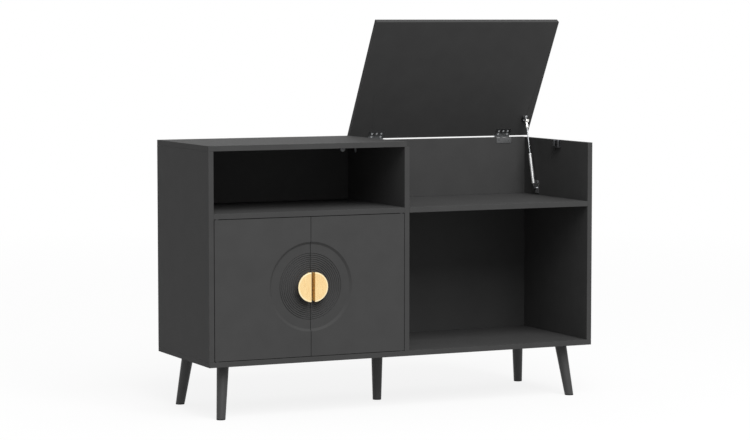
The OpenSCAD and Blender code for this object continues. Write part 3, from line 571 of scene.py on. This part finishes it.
@dataclass
class CarvedDoors:
    """Two doors with one round recess and its grooves cut across both.

    Attributes:
        recess_r: Radius of the recess at the doors' face.
        recess_d: Its depth.
        recess_rim: Width of its sloping rim.
        rim_foot: The rounding at the rim's foot: how far out of the foot, and how far down.
        rim_edge: The rounding at the rim's edge: how far out of the edge, and the depth.
        groove_r: Radius of the outermost groove.
        groove_pitch: Distance between the grooves.
        groove_w: Width of a groove.
        groove_h: Its depth below the recess's floor.
        groove_shape: Share of half the width and share of the depth, from one side to the other.
        groove_count: Number of grooves.
        middle_r: Radius of the plain disc in the middle.
        arris: How far the doors' arrises are rounded.
        merge: Points closer than this are one point.
        steps: Number of faces round half the recess.
    """

    recess_r: float = 125.0
    recess_d: float = 4.5
    recess_rim: float = 6.5
    rim_foot: Pairs = ((-0.8, 0.0), (0.3, -0.12))
    rim_edge: Pairs = ((-0.7, 0.4), (0.0, 0.1), (0.6, 0.0))
    groove_r: float = 92.0
    groove_pitch: float = 5.6
    groove_w: float = 3.0
    groove_h: float = 1.8
    groove_shape: Pairs = ((-1, 0), (-0.62, 0.55), (-0.3, 0.9), (0, 1), (0.3, 0.9), (0.62, 0.55),
                           (1, 0))
    groove_count: int = 9
    middle_r: float = 4.0
    arris: float = 0.3
    merge: float = 0.002
    steps: int = 192

    def outline(self) -> list[tuple[float, float]]:
        """Draws the carving from its middle out to the doors' face.

        Returns:
            Radius and depth of each corner.
        """
        points = [(self.middle_r, self.recess_d)]
        for i in reversed(range(self.groove_count)):
            middle = self.groove_r - i * self.groove_pitch
            points += [(middle + across * self.groove_w / 2, self.recess_d + down * self.groove_h)
                       for across, down in self.groove_shape]
        foot = self.recess_r - self.recess_rim
        points += [(foot + out, self.recess_d + down) for out, down in self.rim_foot]
        points += [(self.recess_r + out, depth) for out, depth in self.rim_edge]
        return points

    def build(self, stand: Stand) -> None:
        """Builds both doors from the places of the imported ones.

        Args:
            stand: The stand that gets the doors.
        """
        low_left, high_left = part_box("left_door")
        low_right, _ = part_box("right_door")
        split = (high_left.x + low_right.x) / 2
        middle = Vector((split, low_left.y, (low_left.z + high_left.z) / 2))
        gap = (low_right.x - high_left.x) / 2 / MM
        width = (high_left.x - low_left.x) / MM
        height = (high_left.z - low_left.z) / MM
        thick = (high_left.y - low_left.y) / MM
        for name, side in (("left_door", -1), ("right_door", 1)):
            mesh = self.board(gap, width, height, thick)
            place = Matrix.Translation(middle) @ Matrix.Diagonal((-side * MM, MM, MM, 1))
            bmesh.ops.transform(mesh, matrix=place, verts=mesh.verts)
            stand.add(f"{name}_carved", mesh, name, name, slot="board", finishes=[MELAMINE])

    def board(self, gap: float, width: float, height: float, thick: float) -> bmesh.types.BMesh:
        """Builds the left door, in millimetres, with the middle of the recess at 0.

        Args:
            gap: Half the gap between the doors.
            width: Width of a door.
            height: Height of a door.
            thick: Thickness of a door.

        Returns:
            The door, with +Y into it.
        """
        near, far, half = gap, gap + width, height / 2
        mesh = bmesh.new()
        rows = []
        for radius, depth in self.outline():
            first = math.acos(-near / radius)
            turn = math.tau - 2 * first
            angles = [first + turn * i / self.steps for i in range(self.steps + 1)]
            rows.append([mesh.verts.new((radius * math.cos(a), depth, -radius * math.sin(a)))
                         for a in angles])
        sides = self.rectangle([Vector((v.co.x, v.co.z)) for v in rows[-1]], near, far, half)
        face = [mesh.verts.new((p.x, 0.0, p.y)) for p in sides]
        rows.append(face)
        strip(mesh, rows, closed=False)
        mesh.faces.new(rows[0])
        back = [mesh.verts.new((p.x, thick, p.y)) for p in sides]
        strip(mesh, [face, back], closed=False)
        mesh.faces.new(back)
        top, bottom = [row[-1] for row in reversed(rows)], [row[0] for row in rows]
        mesh.faces.new(bottom + [back[0], back[-1]] + top)
        planes = ((0, -far), (0, -near), (1, 0.0), (1, thick), (2, -half), (2, half))
        arrises = [e for e in mesh.edges if self.is_arris(e, planes)]
        bmesh.ops.bevel(mesh, geom=arrises, offset=self.arris, segments=ARRIS_SEGMENTS,
                        profile=ROUND_PROFILE, affect="EDGES", clamp_overlap=True)
        bmesh.ops.remove_doubles(mesh, verts=mesh.verts, dist=self.merge)
        return mesh

    @staticmethod
    def rectangle(circle: Sequence[Vector], near: float, far: float, half: float) -> list[Vector]:
        """Carries the points of the recess's rim straight out to the door's four sides.

        Args:
            circle: The rim's points, from the lower end of the split round to the upper one.
            near: Distance from the middle to the door's split.
            far: Distance from the middle to the door's hinged side.
            half: Half the door's height.

        Returns:
            One point on the door's sides for each point, with one on every corner.
        """
        points = [p * min(far / max(-p.x, TINY), half / max(abs(p.y), TINY)) for p in circle]
        points[0], points[-1] = Vector((-near, -half)), Vector((-near, half))
        for corner in (Vector((-far, -half)), Vector((-far, half))):
            nearest = min(range(1, len(points) - 1), key=lambda i: (points[i] - corner).length)
            points[nearest] = corner
        return points

    @staticmethod
    def is_arris(edge: bmesh.types.BMEdge, planes: Sequence[tuple[int, float]]) -> bool:
        """Tells whether an edge is one of the door's twelve arrises, outside the recess.

        Args:
            edge: The edge.
            planes: Axis and place of each of the door's six sides.

        Returns:
            Whether it lies on two of them.
        """
        ends = [vert.co for vert in edge.verts]
        on = [all(abs(end[axis] - place) < TOUCH_MM for end in ends) for axis, place in planes]
        return sum(on) >= 2


class Brass(IntEnum):
    """Material numbers of a handle, in the order of its finishes."""

    FACE = 0
    BEVEL = 1
    BEHIND = 2


@dataclass
class HalfRoundHandles:
    """Two half-round handles: a face, a web along the straight edge and a foot on the door.

    Attributes:
        radius: Radius of the face.
        cut: Distance from the face's middle to its straight edge.
        height: How far the face stands off the door.
        metal: Thickness of the metal.
        bevel_w: Width of the bevel round the face.
        bevel_h: Its height.
        softness: How far the bevel's edges are softened.
        face_drop: How low the face is where its bevel starts.
        back_radius: Radius of the web and the foot, which lie behind the face.
        foot_w: Width of the foot.
        foot_length: Length of the foot.
        steps: Number of faces round the half circle.
        foot_steps: Number of faces across the web and across the foot.
    """

    radius: float = 41.5
    cut: float = 2.0
    height: float = 20.5
    metal: float = 3.5
    bevel_w: float = 3.5
    bevel_h: float = 0.5
    softness: float = 0.25
    face_drop: float = 0.0625
    back_radius: float = 39.5
    foot_w: float = 18.0
    foot_length: float = 58.0
    steps: int = 96
    foot_steps: int = 4

    def build(self, stand: Stand) -> None:
        """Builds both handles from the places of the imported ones.

        Args:
            stand: The stand that gets the handles.
        """
        for name, side in (("left_handle", 1), ("right_handle", -1)):
            low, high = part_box(name)
            edge = high.x if side > 0 else low.x
            middle = Vector((edge, high.y, (low.z + high.z) / 2))
            place = Matrix.Translation(middle) @ Matrix.Diagonal((side * MM, MM, MM, 1))
            mesh = bmesh.new()
            self.face(mesh)
            self.foot(mesh)
            bmesh.ops.transform(mesh, matrix=place, verts=mesh.verts)
            # The bevel's paler brass is partly a painted highlight along the rim.
            stand.add(f"{name}_brushed", mesh, name.replace("handle", "door"), name,
                      slot="brushed_gold", finishes=[BRUSHED_BRASS, CUT_BRASS_AND_HIGHLIGHT, CAST_BRASS])

    def face(self, mesh: bmesh.types.BMesh) -> None:
        """Builds the half-round face with its bevel, whose paler colour is partly a painted
        highlight.

        Args:
            mesh: The mesh that gets it, with the door at Y = 0 and -Y to the front.
        """
        front, back, soft = self.height, self.height - self.metal, self.softness
        # Radius and distance from the door of each corner. The first and the last lie in the middle
        # of the straight edge, where their rows are one point.
        outline = (
            (0.0, front),
            (self.radius - self.bevel_w - soft, front),
            (self.radius - self.bevel_w, front - self.face_drop),
            (self.radius - soft, front - self.bevel_h),
            (self.radius, front - self.bevel_h - soft),
            (self.radius, back + soft),
            (self.radius - soft, back),
            (0.0, back),
        )
        bands = (Brass.FACE, Brass.BEVEL, Brass.BEVEL, Brass.BEVEL, Brass.BEVEL, Brass.BEHIND,
                 Brass.BEHIND)
        rows = []
        for radius, out in outline:
            if radius:
                first = math.asin(self.cut / radius)
                turn = math.pi - 2 * first
                angles = [first + turn * i / self.steps for i in range(self.steps + 1)]
                rows.append([
                    mesh.verts.new((self.cut - radius * math.sin(a), -out, -radius * math.cos(a)))
                    for a in angles
                ])
            else:
                rows.append([mesh.verts.new((0.0, -out, 0.0))] * (self.steps + 1))
        for band, low, high in zip(bands, rows, rows[1:]):
            for i in range(self.steps):
                corners = list(dict.fromkeys((low[i], low[i + 1], high[i + 1], high[i])))
                mesh.faces.new(corners).material_index = band
        straight = [row[0] for row in rows] + [row[-1] for row in reversed(rows[1:-1])]
        mesh.faces.new(straight).material_index = Brass.BEHIND

    def foot(self, mesh: bmesh.types.BMesh) -> None:
        """Builds the web along the straight edge and the foot that is screwed to the door.

        Args:
            mesh: The mesh that gets them, with the door at Y = 0 and -Y to the front.
        """
        # Both sides, the distance off the door and half the greatest length, of web and foot.
        parts = (
            (-self.metal, 0.0, self.height - self.metal, self.back_radius),
            (-self.foot_w, -self.metal, self.metal, self.foot_length / 2),
        )
        before = len(mesh.faces)
        for far, near, out, longest in parts:
            rows = []
            for i in range(self.foot_steps + 1):
                x = far + (near - far) * i / self.foot_steps
                half = min(math.sqrt(self.back_radius**2 - (self.cut - x) ** 2), longest)
                rows.append([mesh.verts.new((x, -y, z))
                             for y, z in ((0, -half), (out, -half), (out, half), (0, half))])
            tube(mesh, rows)
        mesh.faces.ensure_lookup_table()
        for made in mesh.faces[before:]:
            made.material_index = Brass.BEHIND


@dataclass
class DoorFittings:
    """What the doors hang from and what holds them shut."""

    housing_arris: float = 0.4

    def build(self, stand: Stand) -> None:
        """Dresses pivots, bushes, screws and the magnetic catch.

        Args:
            stand: The stand that holds them.
        """
        stand.dress(ZINC_PLATE, "left_handle_screws", "right_handle_screws", "catch_screws",
                    "left_catch_strike", "right_catch_strike")
        stand.dress(DARK_NICKEL, "left_door_pivot_pins", "right_door_pivot_pins")
        stand.dress(BLACK_ABS, "door_pivot_bushes")
        stand.dress(BLACK_ABS, "catch_housing", arris_mm=self.housing_arris)
        stand.dress(FERRITE, "catch_magnets")


@dataclass
class LiftingLid:
    """The lid, its two hinges and the buffers on which it comes to rest."""

    arris: float = 0.6
    shortest: float = 9.0
    housing_arris: float = 0.4
    tip_arris: float = 0.6

    def build(self, stand: Stand) -> None:
        """Dresses the lid, hinges and buffers.

        Args:
            stand: The stand that holds them.
        """
        stand.dress(MELAMINE, "lid_panel", arris_mm=self.arris, longer_than_mm=self.shortest)
        stand.dress(DARK_NICKEL, "lid_hinge_frame_leaves", "lid_hinge_lid_leaves",
                    "lid_hinge_frame_screws")
        stand.dress(ZINC_PLATE, "lid_hinge_pins")
        stand.dress(ZINC_FLAKE, "lid_hinge_lid_screws")
        stand.dress(BLACK_ABS, "lid_buffer_housings", arris_mm=self.housing_arris)
        stand.dress(GREY_ACETAL, "lid_buffer_pins")
        stand.dress(GREY_RUBBER, "lid_buffer_tips", arris_mm=self.tip_arris)


@dataclass
class GasStrut:
    """The strut beside the right side board, from its ball on the lid to its lower pivot.

    Places along the strut are measured up from its lower pivot, with the lid open.

    Attributes:
        open_length: Place of the ball.
        tube_from: Place of the tube's heel.
        tube_to: Place of its mouth.
        tube_r: Radius of the tube.
        tube_steps: Number of faces round it.
        heel: The round heel: how far its side is drawn in, and how far up from the heel.
        crimp_down: Distance from the mouth to the crimp that holds the gland.
        crimp: The crimp: how far its side is drawn in, and how far up from the crimp.
        roll: The rolled mouth's outside: how far drawn in, and how far down from the mouth.
        mouth_r: Radius of the mouth's opening.
        lip_w: Width of the mouth's flat lip.
        lip_h: Its height.
        rod_r: Radius of the rod.
        rod_from: Place of its lower end.
        rod_to: Place of its upper end.
        rod_chamfer: Chamfer at both ends.
        rod_steps: Number of faces round it.
        socket_arris: How far the ball socket's arrises are rounded.
        bracket_arris: How far the lid bracket's arrises are rounded.
    """

    open_length: float = 209.026
    tube_from: float = 14.0
    tube_to: float = 107.0
    tube_r: float = 5.0
    tube_steps: int = 64
    heel: Pairs = ((1.5, 0.0), (0.5, 0.3), (0.0, 1.3))
    crimp_down: float = 7.0
    crimp: Pairs = ((0.0, -1.6), (0.25, -0.9), (0.45, 0.0), (0.25, 0.9), (0.0, 1.6))
    roll: Pairs = ((0.0, 1.6), (0.3, 0.7))
    mouth_r: float = 3.6
    lip_w: float = 0.5
    lip_h: float = 0.1
    rod_r: float = 2.0
    rod_from: float = 91.0
    rod_to: float = 201.726
    rod_chamfer: float = 0.3
    rod_steps: int = 40
    socket_arris: float = 0.8
    bracket_arris: float = 0.3

    def build(self, stand: Stand) -> None:
        """Builds tube and rod on the strut's axis, and dresses the rest.

        Args:
            stand: The stand that holds the strut.
        """
        along = Vector(stand.joints["strut_tube_slide"]["axis"]).normalized()
        ball = Vector(stand.joints["strut_rod_swing"]["pos_m"])
        turn = Vector((0, 0, 1)).rotation_difference(along).to_matrix().to_4x4()
        place = Matrix.Translation(ball - along * self.open_length * MM) @ turn
        mesh = bmesh.new()
        turned(mesh, self.tube_outline(), place, self.tube_steps)
        stand.add("strut_tube_rolled", mesh, "strut_tube", "strut_tube", slot="strut_silver",
                  finishes=[SILVER_LACQUER])
        mesh = bmesh.new()
        turned(mesh, self.rod_outline(), place, self.rod_steps)
        stand.add("strut_rod_ground", mesh, "strut_rod", "strut_rod", slot="strut_chrome",
                  finishes=[GROUND_STEEL])
        stand.dress(ZINC_PLATE, "strut_ball_stud", "strut_side_bracket", "bracket_screws")
        stand.dress(NICKEL_PLATE, "strut_ball_socket", arris_mm=self.socket_arris)
        stand.dress(ZINC_FLAKE, "strut_lid_screws")
        stand.dress(POWDER_COAT, "strut_lid_bracket", arris_mm=self.bracket_arris)
        stand.dress(CAST_ZINC, "strut_piston")
        stand.dress(BLACK_ABS, "strut_gland", "strut_tube_eye")

    def tube_outline(self) -> list[tuple[float, float]]:
        """Draws the tube: a round heel, a crimp for the gland and a rolled-in mouth.

        Returns:
            Radius and place of each corner.
        """
        crimp_at = self.tube_to - self.crimp_down
        points = [(self.tube_r - inward, self.tube_from + up) for inward, up in self.heel]
        points += [(self.tube_r - inward, crimp_at + up) for inward, up in self.crimp]
        points += [(self.tube_r - inward, self.tube_to - down) for inward, down in self.roll]
        points += [(self.mouth_r + self.lip_w, self.tube_to - self.lip_h),
                   (self.mouth_r, self.tube_to)]
        return points

    def rod_outline(self) -> list[tuple[float, float]]:
        """Draws the rod with a chamfer at both ends.

        Returns:
            Radius and place of each corner.
        """
        thin = self.rod_r - self.rod_chamfer
        return [(thin, self.rod_from), (self.rod_r, self.rod_from + self.rod_chamfer),
                (self.rod_r, self.rod_to - self.rod_chamfer), (thin, self.rod_to)]


@dataclass
class SplayedLegs:
    """Four splayed legs at the corners and a straight one in the middle, with their iron.

    Attributes:
        top_z: Height of the bottom board's underside.
        shoulder_z: Height of a leg's upper end, under its plate.
        foot_z: Height of its lower end, on its glide.
        top_d: Width of a leg at the bottom board.
        foot_d: Width of a leg at the floor.
        rounding: How far its two ends are rounded.
        round_shape: The rounding: share of it along the leg and share of it inward.
        plain_from: Distance from an end to where the side counts as plain.
        in_side: Distance from the cabinet's side to a leg's axis.
        in_end: Distance from the cabinet's back to a leg's axis.
        splay_side: Lean to the side, in degrees.
        splay_end: Lean to the front or back, in degrees.
        steps: Number of faces round a leg.
        corners: Where each leg stands: its side of the middle along X and along Y.
    """

    top_z: float = 151.0
    shoulder_z: float = 148.0
    foot_z: float = 2.0
    top_d: float = 34.0
    foot_d: float = 25.0
    rounding: float = 1.5
    round_shape: Pairs = ((0.0, 1.0), (0.12, 0.55), (0.5, 0.13), (1.0, 0.0))
    plain_from: float = 20.0
    in_side: float = 66.0
    in_end: float = 67.0
    splay_side: float = 6.2
    splay_end: float = 9.6
    steps: int = 96
    corners: dict[str, tuple[int, int]] = field(default_factory=lambda: {
        "front_left_leg": (-1, -1), "front_right_leg": (1, -1), "rear_left_leg": (-1, 1),
        "rear_right_leg": (1, 1), "centre_leg": (0, 0),
    })

    def build(self, stand: Stand) -> None:
        """Builds the legs and dresses plates, bolts, screws and glides.

        Args:
            stand: The stand that gets the legs.
        """
        _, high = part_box("bottom_panel")
        reach = Vector((high.x / MM - self.in_side, high.y / MM - self.in_end))
        lean = Vector((math.tan(math.radians(self.splay_side)),
                       math.tan(math.radians(self.splay_end))))
        for name, (x, y) in self.corners.items():
            mesh = bmesh.new()
            top = Vector((x * reach.x, y * reach.y, self.top_z))
            self.leg(mesh, top, Vector((x * lean.x, y * lean.y, -1)).normalized())
            bmesh.ops.scale(mesh, vec=(MM, MM, MM), verts=mesh.verts)
            stand.add(f"{name}_turned", mesh, "cabinet", name, slot="leg_paint",
                      finishes=[PAINTED_WOOD])
        stand.dress(POWDER_COAT, "leg_plates")
        stand.dress(ZINC_PLATE, "leg_plate_screws", "leg_bolts")
        stand.dress(BLACK_RUBBER, "leg_glides")

    def leg(self, mesh: bmesh.types.BMesh, top: Vector, down: Vector) -> None:
        """Builds one tapered leg, cut level at both ends and rounded there.

        Args:
            mesh: The mesh that gets the leg, in millimetres.
            top: The point of its axis under the bottom board.
            down: The direction of its axis.
        """
        across = down.orthogonal().normalized()
        other = down.cross(across)
        # What the radius loses for each millimetre down the axis.
        taper = (self.top_d - self.foot_d) / 2 / (self.top_z / -down.z)
        rows = []
        for height, inset in self.levels():
            radius = self.top_d / 2 - inset
            row = []
            for i in range(self.steps):
                angle = math.tau * i / self.steps
                out = across * math.cos(angle) + other * math.sin(angle)
                # How far down the axis the side comes to this height.
                far = (height - top.z - radius * out.z) / (down.z - taper * out.z)
                row.append(mesh.verts.new(top + down * far + out * (radius - taper * far)))
            rows.append(row)
        tube(mesh, rows)

    def levels(self) -> list[tuple[float, float]]:
        """Lists the level cuts through a leg, from its foot to its shoulder.

        Returns:
            Height of each, and how far the side is drawn in there.
        """
        shape = [(along * self.rounding, inward * self.rounding)
                 for along, inward in self.round_shape] + [(self.plain_from, 0.0)]
        foot = [(self.foot_z + along, inward) for along, inward in shape]
        shoulder = [(self.shoulder_z - along, inward) for along, inward in reversed(shape)]
        return foot + shoulder


@dataclass
class BoardJoints:
    """The knock-down fittings that hold the boards together."""

    def build(self, stand: Stand) -> None:
        """Dresses cams, bolts, dowels and the screws of the bottom board.

        Args:
            stand: The stand that holds them.
        """
        stand.dress(CAST_ZINC, "cam_locks")
        stand.dress(ZINC_PLATE, "cam_bolts", "bottom_screws")
        stand.dress(BEECH, "wood_dowels")


@dataclass
class Studio:
    """A pale floor, a dim sky, a soft lamp and the camera at the photograph's place.

    Attributes:
        floor_size: Side of the floor, in metres.
        floor_cells: Number of faces along its side.
        floor_white: Share of plain white in its look near the stand.
        white_from: Distance from the middle at which that share starts to grow, in metres.
        white_to: Distance at which the floor looks all white, in metres.
        floor_bounce: The floor's colour for the light that it throws back on the stand.
        floor_seen: Its colour where it is seen directly.
        sky: Strength of the sky's light.
        key_power: Power of the lamp, in watts.
        key_size: Its side, in metres.
        key_distance: Its distance from its target, in metres.
        key_target: Height of its target, in metres.
        key_height_deg: How far it stands above the level.
        key_left_deg: How far it stands to the left of the stand's front.
        camera_at: The camera's place, in millimetres.
        camera_yaw_deg: How far it is turned to the left.
        camera_down_deg: How far it looks down.
        focal_px: Its focal length, in pixels.
        image_width: Width of the picture, in pixels.
        sensor: Width of its sensor, in millimetres.
        clip_end: How far it sees, in metres.
    """

    floor_size: float = 40.0
    floor_cells: int = 8
    floor_white: float = 0.85
    white_from: float = 1.5
    white_to: float = 6.0
    floor_bounce: str = "#a4a4a4"
    floor_seen: str = "#f0f0f0"
    sky: float = 0.55
    key_power: float = 1000.0
    key_size: float = 7.0
    key_distance: float = 10.0
    key_target: float = 0.5
    key_height_deg: float = 46.0
    key_left_deg: float = 2.0
    camera_at: tuple[float, float, float] = (-3122.991, -6639.694, 1106.791)
    camera_yaw_deg: float = -25.1460
    camera_down_deg: float = 4.5477
    focal_px: float = 2545.043
    image_width: int = 750
    sensor: float = 36.0
    clip_end: float = 200.0

    def build(self) -> None:
        """Makes floor, sky, lamp and camera."""
        self.lay_floor()
        self.make_sky()
        self.hang_lamp()
        self.set_camera()

    @staticmethod
    def seen_directly(tree: bpy.types.NodeTree) -> Socket:
        """Tells rays that show a surface from those that only carry its light.

        Args:
            tree: The node tree that gets the nodes.

        Returns:
            1 for rays from the camera and for those that mirror or pass through, 0 for the rest.
        """
        path = add_node(tree, "ShaderNodeLightPath")
        both = add_node(tree, "ShaderNodeMath", {"operation": "MAXIMUM"},
                        {0: path.outputs["Is Glossy Ray"], 1: path.outputs["Is Transmission Ray"]})
        return add_node(tree, "ShaderNodeMath", {"operation": "MAXIMUM"},
                        {0: path.outputs["Is Camera Ray"], 1: both.outputs[0]}).outputs[0]

    def lay_floor(self) -> None:
        """Makes the pale floor, which keeps the stand's shadow."""
        mesh = bmesh.new()
        bmesh.ops.create_grid(mesh, x_segments=self.floor_cells, y_segments=self.floor_cells,
                              size=self.floor_size / 2)
        piece = new_piece("studio_floor", mesh)
        material = new_material("studio_floor_paper")
        tree = material.node_tree
        seen = self.seen_directly(tree)
        place = add_node(tree, "ShaderNodeTexCoord").outputs["Object"]
        away = add_node(tree, "ShaderNodeVectorMath", {"operation": "LENGTH"},
                        {0: place}).outputs["Value"]
        white = add_node(tree, "ShaderNodeMapRange", inputs={
            "Value": away, "From Min": self.white_from, "From Max": self.white_to,
            "To Min": self.floor_white, "To Max": 1.0,
        }).outputs["Result"]
        share = add_node(tree, "ShaderNodeMath", {"operation": "MULTIPLY"},
                         {0: seen, 1: white}).outputs[0]
        colour = add_node(tree, "ShaderNodeMix", {"data_type": "RGBA"}, {
            MIX_SHARE: seen, MIX_COLOUR_A: linear(self.floor_bounce),
            MIX_COLOUR_B: linear(self.floor_seen),
        }).outputs[MIXED_COLOUR]
        paper = add_node(tree, "ShaderNodeBsdfDiffuse", inputs={"Color": colour})
        glow = add_node(tree, "ShaderNodeEmission", inputs={"Color": WHITE, "Strength": 1.0})
        look = add_node(tree, "ShaderNodeMixShader",
                        inputs={0: share, 1: paper.outputs[0], 2: glow.outputs[0]})
        add_node(tree, "ShaderNodeOutputMaterial", inputs={"Surface": look.outputs[0]})
        piece.data.materials.append(material)
        piece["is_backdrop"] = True
        LOG.info("laid the floor")

    def make_sky(self) -> None:
        """Makes a dim even sky that looks white where it is seen directly."""
        world = bpy.data.worlds.new("studio_sky")
        bpy.context.scene.world = world
        world.use_nodes = True
        tree = world.node_tree
        tree.nodes.clear()
        dim, white = [
            add_node(tree, "ShaderNodeBackground", inputs={"Color": WHITE, "Strength": strength})
            for strength in (self.sky, 1.0)
        ]
        look = add_node(tree, "ShaderNodeMixShader", inputs={
            0: self.seen_directly(tree), 1: dim.outputs[0], 2: white.outputs[0],
        })
        add_node(tree, "ShaderNodeOutputWorld", inputs={"Surface": look.outputs[0]})

    def hang_lamp(self) -> None:
        """Hangs a square softbox that looks at the middle of the stand."""
        left, up = math.radians(self.key_left_deg), math.radians(self.key_height_deg)
        away = Vector((-math.sin(left) * math.cos(up), -math.cos(left) * math.cos(up),
                       math.sin(up)))
        data = bpy.data.lights.new("key_lamp", "AREA")
        data.shape = "SQUARE"
        data.size = self.key_size
        data.energy = self.key_power
        lamp = bpy.data.objects.new("key_lamp", data)
        lamp.location = Vector((0, 0, self.key_target)) + away * self.key_distance
        lamp.rotation_euler = (-away).to_track_quat("-Z", "Y").to_euler()
        bpy.context.scene.collection.objects.link(lamp)
        LOG.info("hung the lamp at %.0f W", self.key_power)

    def set_camera(self) -> None:
        """Sets the camera at the place, direction and focal length solved from the photograph."""
        yaw, down = math.radians(self.camera_yaw_deg), math.radians(self.camera_down_deg)
        ahead = Vector((-math.sin(yaw) * math.cos(down), math.cos(yaw) * math.cos(down),
                        -math.sin(down)))
        data = bpy.data.cameras.new("photo_camera")
        data.sensor_fit = "HORIZONTAL"
        data.sensor_width = self.sensor
        data.lens = self.focal_px * self.sensor / self.image_width
        data.clip_end = self.clip_end
        camera = bpy.data.objects.new("photo_camera", data)
        camera.location = Vector(self.camera_at) * MM
        camera.rotation_euler = ahead.to_track_quat("-Z", "Y").to_euler()
        bpy.context.scene.collection.objects.link(camera)
        bpy.context.scene.camera = camera


def corners() -> list[list[float]]:
    """Gives the lowest and highest corner of what is shown, as plain numbers."""
    return [list(corner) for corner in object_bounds()]


def main() -> None:
    """Builds the stand, then the studio."""
    logging.basicConfig(level=logging.INFO, format="%(message)s")
    stand = Stand()
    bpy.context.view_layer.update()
    for part in (Carcass(), CarvedDoors(), HalfRoundHandles(), DoorFittings(), LiftingLid(),
                 GasStrut(), SplayedLegs(), BoardJoints()):
        part.build(stand)
    Studio().build()
    bpy.context.scene.view_settings.view_transform = "Standard"


if __name__ == "__main__":
    main()
